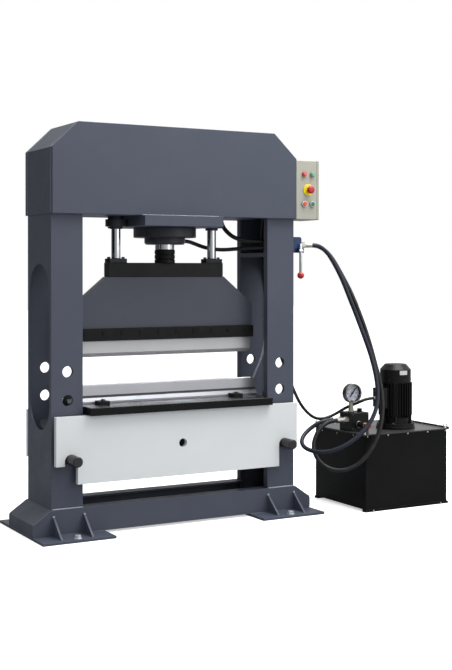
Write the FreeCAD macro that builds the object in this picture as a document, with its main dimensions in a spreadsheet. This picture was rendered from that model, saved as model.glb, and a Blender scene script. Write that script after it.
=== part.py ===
import FreeCAD, Part
import Sketcher
import math
import os
from FreeCAD import Vector, Placement, Rotation

# Hydraulic plate press with its power pack.  Millimetres, +Z up, +X to the
# operator's right, +Y to the back.  The numbers in the sheet are measured from
# the middle of the press and from a datum a little under the floor; origin_x
# and origin_y then bring the middle of the whole object's footprint to 0, 0
# and origin_z brings the floor to 0.

doc = FreeCAD.newDocument("hydraulic_press")
sheet = doc.addObject("Spreadsheet::Sheet", "Dims")

DIMS = [
    ("origin_x", -374), ("origin_y", 37), ("origin_z", -12), ("floor", 12),
    # columns
    ("col_out", 662), ("col_in", 505), ("col_half", 156), ("col_plate", 20),
    ("col_head_out", 645), ("col_top", 1517), ("col_tongue", 1800),
    ("slot_half", 134), ("slot_low", 630.5), ("slot_high", 1149),
    ("col_side", 8), ("lip_wide", 12), ("lip_deep", 15),
    ("pin_x", 580), ("pin_hole_rad", 26.5), ("pin_hole_low", 376.5), ("pin_pitch", 134.5),
    ("stiff_low", 1322), ("stiff_high", 1342), ("cable_hole_rad", 22),
    # head
    ("head_half", 665), ("head_low", 1517), ("head_slope", 1824), ("head_high", 1948),
    ("head_top_half", 533), ("head_front", 181), ("wrap_plate", 12), ("floor_plate", 18),
    ("collar_rad", 34.2), ("hose_hole_rad", 24),
    # cylinder and its mounting plate
    ("mount_half", 213), ("mount_deep", 222), ("mount_low", 1465),
    ("barrel_rad", 125), ("bore_rad", 90), ("barrel_high", 1760), ("barrel_cap", 1720),
    ("flange_rad", 156.5), ("flange_low", 1415),
    ("gland_rad", 102), ("gland_low", 1381), ("gland_bore", 48.05),
    ("piston_rad", 89.95), ("piston_low", 1600), ("piston_high", 1660),
    ("rod_rad", 48), ("rod_end", 1355),
    ("adapter_rad", 51), ("adapter_groove", 48),
    # guides
    ("guide_x", 266), ("guide_rad", 22.5), ("guide_bore", 22.56), ("guide_high", 1720),
    ("bush_rad", 52), ("bush_low", 1467), ("bush_high", 1502), ("bush_lip_low", 1455), ("bush_lip_rad", 32),
    ("bush_collar_rad", 40), ("sleeve_rad", 34), ("sleeve_high", 1585),
    ("foot_long", 50), ("foot_deep", 27), ("foot_high", 1310),
    # ram
    ("ram_half", 318), ("ram_deep", 27), ("ram_low", 1221), ("ram_high", 1290),
    ("punch_top_half", 326), ("punch_half", 492), ("punch_slope", 1083), ("punch_face", 20),
    ("punch_step", 962), ("punch_low", 912), ("punch_tongue", 2), ("punch_corner", 34),
    ("bar_half", 490), ("bar_front", 40), ("bar_low", 911), ("bar_high", 972),
    ("screw_pitch", 98.6), ("screw_height", 949),
    ("blade_half", 484), ("blade_edge", 852), ("blade_tip", 833),
    # bed
    ("bed_half", 655), ("bed_front", 201), ("bed_plate", 25), ("bed_high", 575),
    ("bed_tab_low", 346), ("bed_body_half", 548), ("bed_low", 258), ("notch_out", 612),
    ("notch_mid", 368), ("notch_rad", 32), ("bed_hole_rad", 21), ("bed_hole_height", 415),
    ("spacer_x", 400), ("spacer_rad", 30),
    ("pin_rad", 25), ("pin_height", 375), ("pin_half_length", 283),
    ("table_half", 494), ("table_deep", 228), ("table_high", 612),
    ("die_half", 511), ("die_left", 532), ("rail_deep", 42), ("rail_shoulder", 620), ("rail_inner", 34),
    ("rail_waist", 24), ("rail_slope_high", 637), ("rail_high", 649),
    ("die_deep", 30), ("die_high", 697), ("vee_half", 25), ("vee_low", 672),
    ("clamp_x", 368), ("clamp_half", 26), ("clamp_front", 100), ("clamp_high", 626), ("clamp_tip", 36),
    ("bolt_y", 76),
    # base
    ("base_half", 753), ("base_out", 166), ("base_plate", 10), ("base_high", 143), ("base_slope", 80),
    ("base_flange", 60), ("foot_plate", 24), ("foot_in", 397), ("foot_out", 756), ("foot_reach", 302),
    ("gusset_out", 650), ("gusset_in", 497), ("gusset_plate", 10), ("gusset_reach", 274), ("gusset_high", 110),
    ("anchor_x", 575), ("anchor_y", 268),
    # control box
    ("box_left", 665), ("box_right", 790), ("box_front", 180), ("box_back", 0),
    ("box_low", 1514), ("box_high", 1820), ("box_wall", 4), ("door_deep", 14),
    ("knob_left", 711), ("knob_right", 760), ("lamp_height", 1748), ("estop_x", 736), ("estop_height", 1667),
    ("button_height", 1595), ("stem_rad", 8), ("hinge_x", 797), ("hinge_y", 5),
    # lever valve
    ("valve_left", 662), ("valve_right", 716), ("valve_front", 148), ("valve_back", 80),
    ("valve_low", 1344), ("valve_high", 1425), ("lever_x", 702), ("lever_y", 162), ("lever_height", 1352),
    ("lever_low", 1242), ("lever_top", 1386), ("lever_rad", 7.5), ("ball_rad", 17.7), ("ball_height", 1226.5),
    # power pack
    ("tank_left", 962), ("tank_right", 1492), ("tank_front", 372), ("tank_back", 94),
    ("tank_low", 24), ("tank_high", 405), ("tank_wall", 4),
    ("lid_left", 950), ("lid_right", 1504), ("lid_front", 376), ("lid_back", 98), ("lid_high", 411),
    ("motor_x", 1263), ("motor_y", -224), ("motor_flange_rad", 103), ("motor_flange_mid", 426),
    ("motor_flange_high", 439), ("motor_core_rad", 72), ("motor_high", 657), ("fin_rad", 89.5), ("fin_low", 467),
    ("cowl_rad", 82), ("cowl_shoulder", 725), ("cowl_high", 753), ("cowl_top_rad", 57), ("cowl_wall", 2),
    ("shaft_rad", 12),
    ("tbox_left", 1146), ("tbox_right", 1176), ("tbox_half", 45), ("tbox_low", 526), ("tbox_high", 628),
    ("man_left", 964), ("man_right", 1078), ("man_front", 240), ("man_back", 134), ("man_high", 506),
    ("gauge_x", 988), ("gauge_front", 230), ("gauge_height", 608), ("gauge_rad", 50), ("gauge_deep", 32),
    ("relief_x", 1010), ("relief_height", 447), ("relief_out", 312),
]
VALUES = {}
for i, (alias, value) in enumerate(DIMS):
    row = i + 1
    sheet.set("A%d" % row, alias)
    sheet.set("B%d" % row, str(value))
    sheet.setAlias("B%d" % row, alias)
    VALUES[alias] = float(value)
doc.recompute()


class Q:
    """A size with its number and the sheet expression that gives it."""

    def __init__(self, v, e, bound):
        self.v = float(v)
        self.e = e
        self.bound = bound

    def _mix(self, other, sign, v, flip=False):
        o = q(other)
        a, b = (o, self) if flip else (self, o)
        return Q(v, "(%s %s %s)" % (a.e, sign, b.e), a.bound or b.bound)

    def __add__(self, o):
        return self._mix(o, "+", self.v + q(o).v)

    def __radd__(self, o):
        return self._mix(o, "+", q(o).v + self.v, True)

    def __sub__(self, o):
        return self._mix(o, "-", self.v - q(o).v)

    def __rsub__(self, o):
        return self._mix(o, "-", q(o).v - self.v, True)

    def __mul__(self, o):
        return self._mix(o, "*", self.v * q(o).v)

    def __rmul__(self, o):
        return self._mix(o, "*", q(o).v * self.v, True)

    def __truediv__(self, o):
        return self._mix(o, "/", self.v / q(o).v)

    def __neg__(self):
        return Q(-self.v, "(-%s)" % self.e, self.bound)


def q(x):
    if isinstance(x, Q):
        return x
    return Q(x, "(%.6f)" % x if x < 0 else "%.6f" % x, False)


def d(alias):
    return Q(VALUES[alias], "Dims." + alias, True)


OX = d("origin_x")
OY = d("origin_y")
OZ = d("origin_z")
NODES = []


def place(obj, x=0, y=0, z=0, rot=None):
    """Put a sub-part at x, y, z of the press, moved by the footprint offset."""
    x, y, z = q(x) + OX, q(y) + OY, q(z) + OZ
    obj.Placement = Placement(Vector(x.v, y.v, z.v), rot or Rotation())
    obj.setExpression("Placement.Base.x", x.e)
    obj.setExpression("Placement.Base.y", y.e)
    obj.setExpression("Placement.Base.z", z.e)


def new_body(name, x=0, y=0, z=0, rot=None):
    body = doc.addObject("PartDesign::Body", name)
    body.Label = name
    place(body, x, y, z, rot)
    NODES.append(body)
    return body


def plane(body, role):
    for f in body.Origin.OriginFeatures:
        if f.Role == role:
            return f
    raise RuntimeError(role)


COUNT = [0]


def new_sketch(body, role, offset):
    COUNT[0] += 1
    sk = body.newObject("Sketcher::SketchObject", "sk%d_%s" % (COUNT[0], body.Name))
    sk.AttachmentSupport = (plane(body, role), "")
    sk.MapMode = "FlatFace"
    offset = q(offset)
    sk.AttachmentOffset = Placement(Vector(0, 0, offset.v), Rotation())
    if offset.bound:
        sk.setExpression("AttachmentOffset.Base.z", offset.e)
    return sk


def pin_point(sk, geo, pos, x, y):
    """Fix a sketch point at x, y by distances from the sketch origin."""
    for value, kind, axis in ((q(x), "DistanceX", -2), (q(y), "DistanceY", -1)):
        if abs(value.v) < 1e-9:
            sk.addConstraint(Sketcher.Constraint("PointOnObject", geo, pos, axis))
            continue
        if value.v > 0:
            n = sk.addConstraint(Sketcher.Constraint(kind, -1, 1, geo, pos, value.v))
            e = value.e
        else:
            n = sk.addConstraint(Sketcher.Constraint(kind, geo, pos, -1, 1, -value.v))
            e = "-(%s)" % value.e
        if value.bound:
            sk.setExpression("Constraints[%d]" % n, e)


def polygon(sk, pts):
    pts = [(q(a), q(b)) for a, b in pts]
    n = len(pts)
    first = sk.GeometryCount
    for i in range(n):
        a, b = pts[i], pts[(i + 1) % n]
        sk.addGeometry(Part.LineSegment(Vector(a[0].v, a[1].v, 0), Vector(b[0].v, b[1].v, 0)), False)
    for i in range(n):
        sk.addConstraint(Sketcher.Constraint("Coincident", first + i, 2, first + (i + 1) % n, 1))
    for i in range(n):
        pin_point(sk, first + i, 1, pts[i][0], pts[i][1])


def circle(sk, x, y, r):
    x, y, r = q(x), q(y), q(r)
    g = sk.addGeometry(Part.Circle(Vector(x.v, y.v, 0), Vector(0, 0, 1), r.v), False)
    pin_point(sk, g, 3, x, y)
    n = sk.addConstraint(Sketcher.Constraint("Radius", g, r.v))
    if r.bound:
        sk.setExpression("Constraints[%d]" % n, r.e)


def slot(sk, x, low, high, r):
    """An upright obround with round ends, centres at low and high."""
    x, low, high, r = q(x), q(low), q(high), q(r)
    up = Part.ArcOfCircle(Part.Circle(Vector(x.v, high.v, 0), Vector(0, 0, 1), r.v), 0, math.pi)
    dn = Part.ArcOfCircle(Part.Circle(Vector(x.v, low.v, 0), Vector(0, 0, 1), r.v), math.pi, 2 * math.pi)
    a = sk.addGeometry(up, False)
    b = sk.addGeometry(dn, False)
    l1 = sk.addGeometry(Part.LineSegment(Vector(x.v - r.v, high.v, 0), Vector(x.v - r.v, low.v, 0)), False)
    l2 = sk.addGeometry(Part.LineSegment(Vector(x.v + r.v, low.v, 0), Vector(x.v + r.v, high.v, 0)), False)
    sk.addConstraint(Sketcher.Constraint("Tangent", a, 2, l1, 1))
    sk.addConstraint(Sketcher.Constraint("Tangent", l1, 2, b, 1))
    sk.addConstraint(Sketcher.Constraint("Tangent", b, 2, l2, 1))
    sk.addConstraint(Sketcher.Constraint("Tangent", l2, 2, a, 1))
    pin_point(sk, a, 3, x, high)
    pin_point(sk, b, 3, x, low)
    n = sk.addConstraint(Sketcher.Constraint("Radius", a, r.v))
    if r.bound:
        sk.setExpression("Constraints[%d]" % n, r.e)


ROLE = {"z": "XY_Plane", "y": "XZ_Plane", "x": "YZ_Plane"}


def pad(body, axis, low, high, draw):
    """Pad the drawn outline from low to high along an axis of the body.

    The upright front plane looks towards -Y, so there the outline is drawn on
    the far face and padded forwards.
    """
    low, high = q(low), q(high)
    sk = new_sketch(body, ROLE[axis], -high if axis == "y" else low)
    draw(sk)
    feat = body.newObject("PartDesign::Pad", "Pad_%s" % sk.Name)
    feat.Profile = sk
    length = high - low
    feat.Length = length.v
    if length.bound:
        feat.setExpression("Length", length.e)
    sk.Visibility = False
    body.Tip = feat
    return feat


def cut(body, axis, low, high, draw):
    """Pocket the drawn outline from low to high along an axis of the body."""
    low, high = q(low), q(high)
    doc.recompute()
    before = body.Shape.Volume
    sk = new_sketch(body, ROLE[axis], -low if axis == "y" else high)
    draw(sk)
    feat = body.newObject("PartDesign::Pocket", "Pocket_%s" % sk.Name)
    feat.Profile = sk
    length = high - low
    feat.Length = length.v
    if length.bound:
        feat.setExpression("Length", length.e)
    body.Tip = feat
    doc.recompute()
    if not body.Shape.Volume < before - 1e-3:
        raise RuntimeError("pocket cuts nothing: %s" % body.Label)
    return feat


def turn(body, pts):
    """Revolve a profile of (radius, height) about the body's own Z axis."""
    sk = new_sketch(body, "XZ_Plane", 0)
    polygon(sk, pts)
    feat = body.newObject("PartDesign::Revolution", "Turn_%s" % sk.Name)
    feat.Profile = sk
    feat.ReferenceAxis = (sk, ["V_Axis"])
    feat.Angle = 360
    body.Tip = feat
    return feat


def dress(body, kind, size, test):
    """Fillet or chamfer the edges of the body that pass the test."""
    doc.recompute()
    tip = body.Tip
    names = []
    for i, e in enumerate(tip.Shape.Edges):
        bb = e.BoundBox
        if test(e, bb):
            names.append("Edge%d" % (i + 1))
    if not names:
        raise RuntimeError("no edges to dress on %s" % body.Label)
    feat = body.newObject("PartDesign::" + kind, "%s_%s" % (kind, body.Name))
    feat.Base = (tip, names)
    size = q(size)
    if kind == "Fillet":
        feat.Radius = size.v
    else:
        feat.Size = size.v
    body.Tip = feat
    doc.recompute()
    if not feat.isValid() or feat.Shape.isNull():
        raise RuntimeError("dressing failed on %s" % body.Label)
    return feat


def rect(x0, x1, y0, y1):
    return lambda sk: polygon(sk, [(x0, y0), (x1, y0), (x1, y1), (x0, y1)])


def poly(pts):
    return lambda sk: polygon(sk, pts)


def both(*draws):
    def run(sk):
        for draw in draws:
            draw(sk)
    return run


def disc(x, y, r):
    return lambda sk: circle(sk, x, y, r)


def group(name, parts):
    comp = doc.addObject("Part::Compound", name)
    comp.Label = name
    comp.Links = parts
    place(comp)
    NODES.append(comp)
    return comp


def bind(obj, prop, value):
    value = q(value)
    setattr(obj, prop, value.v)
    if value.bound:
        obj.setExpression(prop, value.e)


def spot(obj, x, y, z, rot=None):
    x, y, z = q(x), q(y), q(z)
    obj.Placement = Placement(Vector(x.v, y.v, z.v), rot or Rotation())
    for axis, value in (("x", x), ("y", y), ("z", z)):
        if value.bound:
            obj.setExpression("Placement.Base.%s" % axis, value.e)


def hex_bolt(name, x, y, z, head_rad, head_high, shank_rad, shank_long, washer_rad=0.0, washer_high=0.0, rot=None):
    """Hexagon head bolt, axis up, underside of its washer at z."""
    z = q(z)
    pieces = []
    head = doc.addObject("Part::Prism", name + "_head")
    head.Polygon = 6
    bind(head, "Circumradius", head_rad)
    bind(head, "Height", head_high)
    head.Placement = Placement(Vector(0, 0, washer_high), Rotation())
    pieces.append(head)
    shank = doc.addObject("Part::Cylinder", name + "_shank")
    bind(shank, "Radius", shank_rad)
    bind(shank, "Height", q(shank_long) + washer_high + 1)
    shank.Placement = Placement(Vector(0, 0, -q(shank_long).v), Rotation())
    shank.setExpression("Placement.Base.z", "-(%s)" % q(shank_long).e)
    pieces.append(shank)
    if washer_rad:
        washer = doc.addObject("Part::Cylinder", name + "_washer")
        bind(washer, "Radius", washer_rad)
        bind(washer, "Height", washer_high)
        pieces.append(washer)
    fuse = doc.addObject("Part::MultiFuse", name)
    fuse.Shapes = pieces
    spot(fuse, x, y, z, rot)
    return fuse


def mirror_sign(side):
    return -1.0 if side == "left" else 1.0


def span(side, a, b):
    """The stretch a..b of the right side, or its mirror image on the left."""
    return (-q(b), -q(a)) if side == "left" else (q(a), q(b))


# ---------------------------------------------------------------- base
for side in ("left", "right"):
    body = new_body(side + "_foot")
    s = mirror_sign(side)
    x0, x1 = span(side, d("foot_in"), d("foot_out"))
    pad(body, "z", d("floor"), d("foot_plate"), both(
        rect(x0, x1, -d("foot_reach"), d("foot_reach")),
        disc(d("anchor_x") * s, -d("anchor_y"), 9), disc(d("anchor_x") * s, d("anchor_y"), 9)))
    for at in ("gusset_out", "gusset_in"):
        a, b = span(side, d(at), d(at) + d("gusset_plate"))
        for f in (-1, 1):
            pad(body, "x", a, b, poly([
                (d("base_out") * f, d("foot_plate")), (d("gusset_reach") * f, d("foot_plate")),
                (d("gusset_reach") * f, d("foot_plate") + 2), ((d("base_out") + 8) * f, d("gusset_high")),
                (d("base_out") * f, d("gusset_high"))]))
    # folded end cover: upright end and slope up to the column
    pad(body, "y", -d("col_half"), d("col_half"), poly([
        (d("col_out") * s, d("base_high")), (d("base_half") * s, d("base_slope")),
        (d("base_half") * s, d("foot_plate")), ((d("base_half") - 8) * s, d("foot_plate")),
        ((d("base_half") - 8) * s, d("base_slope") - 4), (d("col_out") * s, d("base_high") - 9.7)]))

for name, f in (("base_front_beam", -1), ("base_rear_beam", 1)):
    body = new_body(name)
    out = [(-d("base_half"), d("foot_plate")), (d("base_half"), d("foot_plate")),
           (d("base_half"), d("base_slope")), (d("col_out"), d("base_high")),
           (-d("col_out"), d("base_high")), (-d("base_half"), d("base_slope"))]
    if f < 0:
        pad(body, "y", -d("base_out"), -d("col_half"), poly(out))
        y0, y1 = -d("col_half"), -(d("col_half") - d("base_flange"))
    else:
        pad(body, "y", d("col_half"), d("base_out"), poly(out))
        y0, y1 = d("col_half") - d("base_flange"), d("col_half")
    pad(body, "z", d("base_high") - 10, d("base_high"), rect(-d("col_in"), d("col_in"), y0, y1))
    pad(body, "z", d("foot_plate"), d("foot_plate") + 10, rect(-d("col_in"), d("col_in"), y0, y1))

anchors = []
for i, (sx, sy) in enumerate(((-1, -1), (1, -1), (-1, 1), (1, 1))):
    anchors.append(hex_bolt("anchor%d" % i, d("anchor_x") * sx, d("anchor_y") * sy, d("foot_plate"),
                            15.5, 12.5, 8.5, d("foot_plate") - d("floor"), 19.0, 3.0, Rotation(Vector(0, 0, 1), 12 + 17 * i)))
group("anchor_bolts", anchors)

# ---------------------------------------------------------------- columns
for side in ("left", "right"):
    body = new_body(side + "_column")
    s = mirror_sign(side)
    holes = [disc(d("pin_x") * s, d("pin_hole_low") + d("pin_pitch") * k, d("pin_hole_rad")) for k in range(4)]
    face = poly([(d("col_in") * s, d("foot_plate")), (d("col_out") * s, d("foot_plate")),
                 (d("col_out") * s, d("col_top")), (d("col_head_out") * s, d("col_top")),
                 (d("col_head_out") * s, d("col_tongue")), (d("col_in") * s, d("col_tongue"))])
    a, b = span(side, d("col_out") - d("col_side"), d("col_out"))
    inner = d("col_half") - d("col_plate")
    # outer wall with its tall obround cut-out
    pad(body, "x", a, b, both(rect(-inner, inner, d("foot_plate"), d("col_top")),
                              lambda sk: slot(sk, 0, d("slot_low"), d("slot_high"), d("slot_half"))))
    pad(body, "y", -d("col_half"), -inner, both(face, *holes))
    pad(body, "y", inner, d("col_half"), both(face, *holes))
    # inward lips along the open side
    a, b = span(side, d("col_in"), d("col_in") + d("lip_wide"))
    pad(body, "z", d("foot_plate"), d("col_top"), rect(a, b, -inner, -inner + d("lip_deep")))
    pad(body, "z", d("foot_plate"), d("col_top"), rect(a, b, inner - d("lip_deep"), inner))
    a, b = span(side, d("col_in"), d("col_out") - d("col_side"))
    pad(body, "z", d("stiff_low"), d("stiff_high"), both(
        rect(a, b, -inner, inner), disc(q(574) * s, 19, d("cable_hole_rad"))))

# ---------------------------------------------------------------- head
outline = [(-d("head_half"), d("head_low")), (d("head_half"), d("head_low")), (d("head_half"), d("head_slope")),
           (d("head_top_half"), d("head_high")), (-d("head_top_half"), d("head_high")), (-d("head_half"), d("head_slope"))]
body = new_body("head_front_plate")
pad(body, "y", -d("head_front"), -d("col_half"), poly(outline))
dress(body, "Chamfer", 1.5, lambda e, bb: bb.YLength < 0.01 and abs(bb.YMax + VALUES["head_front"]) < 0.01)
body = new_body("head_rear_plate")
pad(body, "y", d("col_half"), d("head_front"), poly(outline))
body = new_body("head_wrap")
w = d("wrap_plate")
pad(body, "y", -d("col_half"), d("col_half"), poly([
    (-d("head_half"), d("head_low")), (-d("head_half") + w, d("head_low")), (-d("head_half") + w, d("head_slope") - 5),
    (-d("head_top_half") + 4.2, d("head_high") - w), (d("head_top_half") - 4.2, d("head_high") - w),
    (d("head_half") - w, d("head_slope") - 5), (d("head_half") - w, d("head_low")), (d("head_half"), d("head_low")),
    (d("head_half"), d("head_slope")), (d("head_top_half"), d("head_high")), (-d("head_top_half"), d("head_high")),
    (-d("head_half"), d("head_slope"))]))
body = new_body("head_floor_plate")
pad(body, "z", d("head_low"), d("head_low") + d("floor_plate"), both(
    rect(-d("col_in"), d("col_in"), -d("col_half"), d("col_half")),
    disc(0, 0, d("barrel_rad")), disc(-d("guide_x"), 0, d("collar_rad")), disc(d("guide_x"), 0, d("collar_rad")),
    disc(353, 65, d("hose_hole_rad"))))
body = new_body("cylinder_mount_plate")
pad(body, "z", d("mount_low"), d("head_low"), both(
    rect(-d("mount_half"), d("mount_half"), -d("mount_deep"), d("mount_deep")), disc(0, 0, d("barrel_rad"))))
dress(body, "Chamfer", 2, lambda e, bb: bb.ZLength < 0.01 and abs(bb.ZMin - VALUES["mount_low"]) < 0.01 and bb.DiagonalLength > 400)

# ---------------------------------------------------------------- cylinder
body = new_body("cylinder_barrel")
turn(body, [(d("bore_rad"), d("flange_low")), (d("flange_rad") - 3, d("flange_low")), (d("flange_rad"), d("flange_low") + 3),
            (d("flange_rad"), d("mount_low") - 3), (d("flange_rad") - 3, d("mount_low")),
            (d("barrel_rad"), d("mount_low")), (d("barrel_rad"), d("barrel_high")), (0, d("barrel_high")),
            (0, d("barrel_cap")), (d("bore_rad"), d("barrel_cap"))])
body = new_body("cylinder_gland")
turn(body, [(d("gland_bore"), d("gland_low")), (d("gland_rad") - 7, d("gland_low")), (d("gland_rad"), d("gland_low") + 9),
            (d("gland_rad"), d("flange_low")), (d("gland_bore"), d("flange_low"))])
body = new_body("piston_rod")
turn(body, [(0, d("rod_end")), (d("rod_rad") - 2, d("rod_end")), (d("rod_rad"), d("rod_end") + 2),
            (d("rod_rad"), d("piston_low")), (d("piston_rad"), d("piston_low")),
            (d("piston_rad"), d("piston_high")), (0, d("piston_high"))])
body = new_body("rod_adapter")
top, bot = d("rod_end"), d("ram_high")
ar, ag = d("adapter_rad"), d("adapter_groove")
turn(body, [(0, bot), (ar, bot), (ar, bot + 15), (ag, bot + 17), (ag, bot + 20), (ar, bot + 22), (ar, bot + 38),
            (ag, bot + 40), (ag, bot + 43), (ar, bot + 45), (ar, top - 3), (ar - 3, top), (0, top)])

# ---------------------------------------------------------------- guides
def turned(name, pts):
    """A full turn of a closed profile of (radius, height), standing upright."""
    sk = doc.addObject("Sketcher::SketchObject", name + "_profile")
    sk.Placement = Placement(Vector(0, 0, 0), Rotation(Vector(1, 0, 0), 90))
    polygon(sk, pts)
    rev = doc.addObject("Part::Revolution", name + "_turn")
    rev.Source = sk
    rev.Axis = Vector(0, 0, 1)
    rev.Base = Vector(0, 0, 0)
    rev.Angle = 360
    rev.Solid = True
    return rev


bushes = []
for side in ("left", "right"):
    s = mirror_sign(side)
    g = d("guide_bore")
    bush = turned(side + "_bush", [
        (g, d("bush_lip_low")), (d("bush_lip_rad") - 2, d("bush_lip_low")), (d("bush_lip_rad"), d("bush_lip_low") + 2),
        (d("bush_lip_rad"), d("bush_low")), (d("bush_rad"), d("bush_low")), (d("bush_rad"), d("bush_high")),
        (d("bush_collar_rad"), d("bush_high")), (d("bush_collar_rad"), d("head_low")),
        (d("sleeve_rad"), d("head_low")), (d("sleeve_rad"), d("sleeve_high")), (g, d("sleeve_high"))])
    spot(bush, d("guide_x") * s, 0, 0)
    bushes.append(bush)
group("guide_bushes", bushes)
for side in ("left", "right"):
    s = mirror_sign(side)
    body = new_body(side + "_guide_rod", d("guide_x") * s)
    pad(body, "z", d("ram_high"), d("foot_high"), rect(-d("foot_long"), d("foot_long"), -d("foot_deep"), d("foot_deep")))
    pad(body, "z", d("foot_high"), d("guide_high"), disc(0, 0, d("guide_rad")))
    dress(body, "Fillet", 8, lambda e, bb: bb.ZLength > 15 and bb.ZLength < 30 and bb.XLength < 0.01 and bb.YLength < 0.01)

# ---------------------------------------------------------------- ram
body = new_body("ram_plate")
pad(body, "z", d("ram_low"), d("ram_high"), rect(-d("ram_half"), d("ram_half"), -d("ram_deep"), d("ram_deep")))
dress(body, "Chamfer", 2, lambda e, bb: bb.DiagonalLength > 30)
body = new_body("punch_body")


def punch_outline(low):
    return [(-d("punch_top_half"), d("ram_low")), (-d("punch_half"), d("punch_slope")), (-d("punch_half"), low),
            (d("punch_half"), low), (d("punch_half"), d("punch_slope")), (d("punch_top_half"), d("ram_low"))]


pad(body, "y", -d("punch_tongue"), d("punch_face"), poly(punch_outline(d("punch_low"))))
pad(body, "y", -d("punch_face"), -d("punch_tongue"), poly(punch_outline(d("punch_step"))))
dress(body, "Fillet", d("punch_corner"), lambda e, bb: bb.YLength > 10 and bb.XLength < 0.01 and bb.ZLength < 0.01
      and abs(bb.ZMin - VALUES["punch_slope"]) < 0.5)
body = new_body("punch_clamp_bar")
pad(body, "y", -d("bar_front"), -d("punch_face"), both(
    rect(-d("bar_half"), d("bar_half"), d("bar_low"), d("bar_high")),
    *[disc(d("screw_pitch") * (i - 4.5), d("screw_height"), 7.1) for i in range(10)]))
dress(body, "Chamfer", 2, lambda e, bb: bb.YLength < 0.01 and bb.XLength > 500 and abs(bb.YMax + VALUES["bar_front"]) < 0.01)
screws = []
for i in range(10):
    screws.append(hex_bolt("bar_screw%d" % i, d("screw_pitch") * (i - 4.5), -d("bar_front"), d("screw_height"),
                           11.0, 3.5, 7.0, d("bar_front") - d("punch_face"),
                           rot=Rotation(Vector(1, 0, 0), 90).multiply(Rotation(Vector(0, 0, 1), 7 + 23 * i))))
group("clamp_bar_screws", screws)
body = new_body("punch_blade")
pad(body, "x", -d("blade_half"), d("blade_half"), poly([
    (-d("punch_face"), d("punch_step")), (-d("punch_face"), d("blade_edge")), (0, d("blade_tip")),
    (d("punch_face"), d("blade_edge")), (d("punch_face"), d("punch_low")), (-d("punch_tongue"), d("punch_low")),
    (-d("punch_tongue"), d("punch_step"))]))

# ---------------------------------------------------------------- bed
nr = d("notch_rad")
bed_outline = [
    (-d("bed_half"), d("bed_high")), (-d("bed_half"), d("bed_tab_low")), (-d("notch_out"), d("bed_tab_low")),
    (-d("notch_out"), d("notch_mid")), (-d("bed_body_half"), d("notch_mid")), (-d("bed_body_half"), d("bed_low")),
    (d("bed_body_half"), d("bed_low")), (d("bed_body_half"), d("notch_mid")), (d("notch_out"), d("notch_mid")),
    (d("notch_out"), d("bed_tab_low")), (d("bed_half"), d("bed_tab_low")), (d("bed_half"), d("bed_high"))]
for name, y0, y1 in (("bed_front_plate", -d("bed_front"), -d("bed_front") + d("bed_plate")),
                     ("bed_rear_plate", d("bed_front") - d("bed_plate"), d("bed_front"))):
    body = new_body(name)
    pad(body, "y", y0, y1, both(poly(bed_outline), disc(0, d("bed_hole_height"), d("bed_hole_rad"))))
    for s in (-1, 1):
        cut(body, "y", y0, y1, disc(d("pin_x") * s, d("notch_mid"), nr))
spacers = []
for i in (-1, 0, 1):
    bar = doc.addObject("Part::Cylinder", "spacer_bar%d" % (i + 1))
    bind(bar, "Radius", d("spacer_rad"))
    bind(bar, "Height", (d("bed_front") - d("bed_plate")) * 2)
    if i == 0:
        # the middle one is a tube that carries the cross bore through
        bore = doc.addObject("Part::Cylinder", "spacer_bore")
        bind(bore, "Radius", d("bed_hole_rad"))
        bind(bore, "Height", (d("bed_front") - d("bed_plate")) * 2)
        hollow = doc.addObject("Part::Cut", "spacer_tube")
        hollow.Base = bar
        hollow.Tool = bore
        bar = hollow
    spot(bar, d("spacer_x") * i, d("bed_front") - d("bed_plate"), d("bed_hole_height"), Rotation(Vector(1, 0, 0), 90))
    spacers.append(bar)
group("bed_spacers", spacers)
pins = []
for i, sx in enumerate((-1, 1)):
    rod = doc.addObject("Part::Cylinder", "pin_rod%d" % i)
    bind(rod, "Radius", d("pin_rad"))
    bind(rod, "Height", d("pin_half_length") * 2 - 6)
    rod.Placement = Placement(Vector(0, 0, 3), Rotation())
    ends = []
    for k in (0, 1):
        end = doc.addObject("Part::Cone", "pin_end%d%d" % (i, k))
        bind(end, "Radius1", d("pin_rad") - 3 * (1 - k))
        bind(end, "Radius2", d("pin_rad") - 3 * k)
        bind(end, "Height", 3)
        if k:
            end.Placement = Placement(Vector(0, 0, VALUES["pin_half_length"] * 2 - 3), Rotation())
            end.setExpression("Placement.Base.z", "Dims.pin_half_length * 2 - 3")
        ends.append(end)
    pin = doc.addObject("Part::MultiFuse", "bed_pin%d" % i)
    pin.Shapes = [rod] + ends
    spot(pin, d("pin_x") * sx, d("pin_half_length"), d("pin_height"), Rotation(Vector(1, 0, 0), 90))
    pins.append(pin)
group("bed_pins", pins)
body = new_body("table_plate")
pad(body, "z", d("bed_high"), d("table_high"), both(
    rect(-d("table_half"), d("table_half"), -d("table_deep"), d("table_deep")),
    *[disc(d("clamp_x") * sx, d("bolt_y") * sy, 8.5) for sx in (-1, 1) for sy in (-1, 1)]))
dress(body, "Chamfer", 1.5, lambda e, bb: bb.DiagonalLength > 400)
body = new_body("die_rail")
pad(body, "x", -d("die_left"), d("die_half"), poly([
    (-d("rail_deep"), d("table_high")), (d("rail_deep"), d("table_high")), (d("rail_deep"), d("rail_shoulder")),
    (d("rail_inner"), d("rail_shoulder")), (d("rail_waist"), d("rail_slope_high")), (d("rail_waist"), d("rail_high")),
    (-d("rail_waist"), d("rail_high")), (-d("rail_waist"), d("rail_slope_high")), (-d("rail_inner"), d("rail_shoulder")),
    (-d("rail_deep"), d("rail_shoulder"))]))
body = new_body("die_block")
pad(body, "x", -d("die_left"), d("die_half"), poly([
    (-d("die_deep"), d("rail_high")), (d("die_deep"), d("rail_high")), (d("die_deep"), d("die_high")),
    (d("vee_half"), d("die_high")), (0, d("vee_low")), (-d("vee_half"), d("die_high")), (-d("die_deep"), d("die_high"))]))
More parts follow.
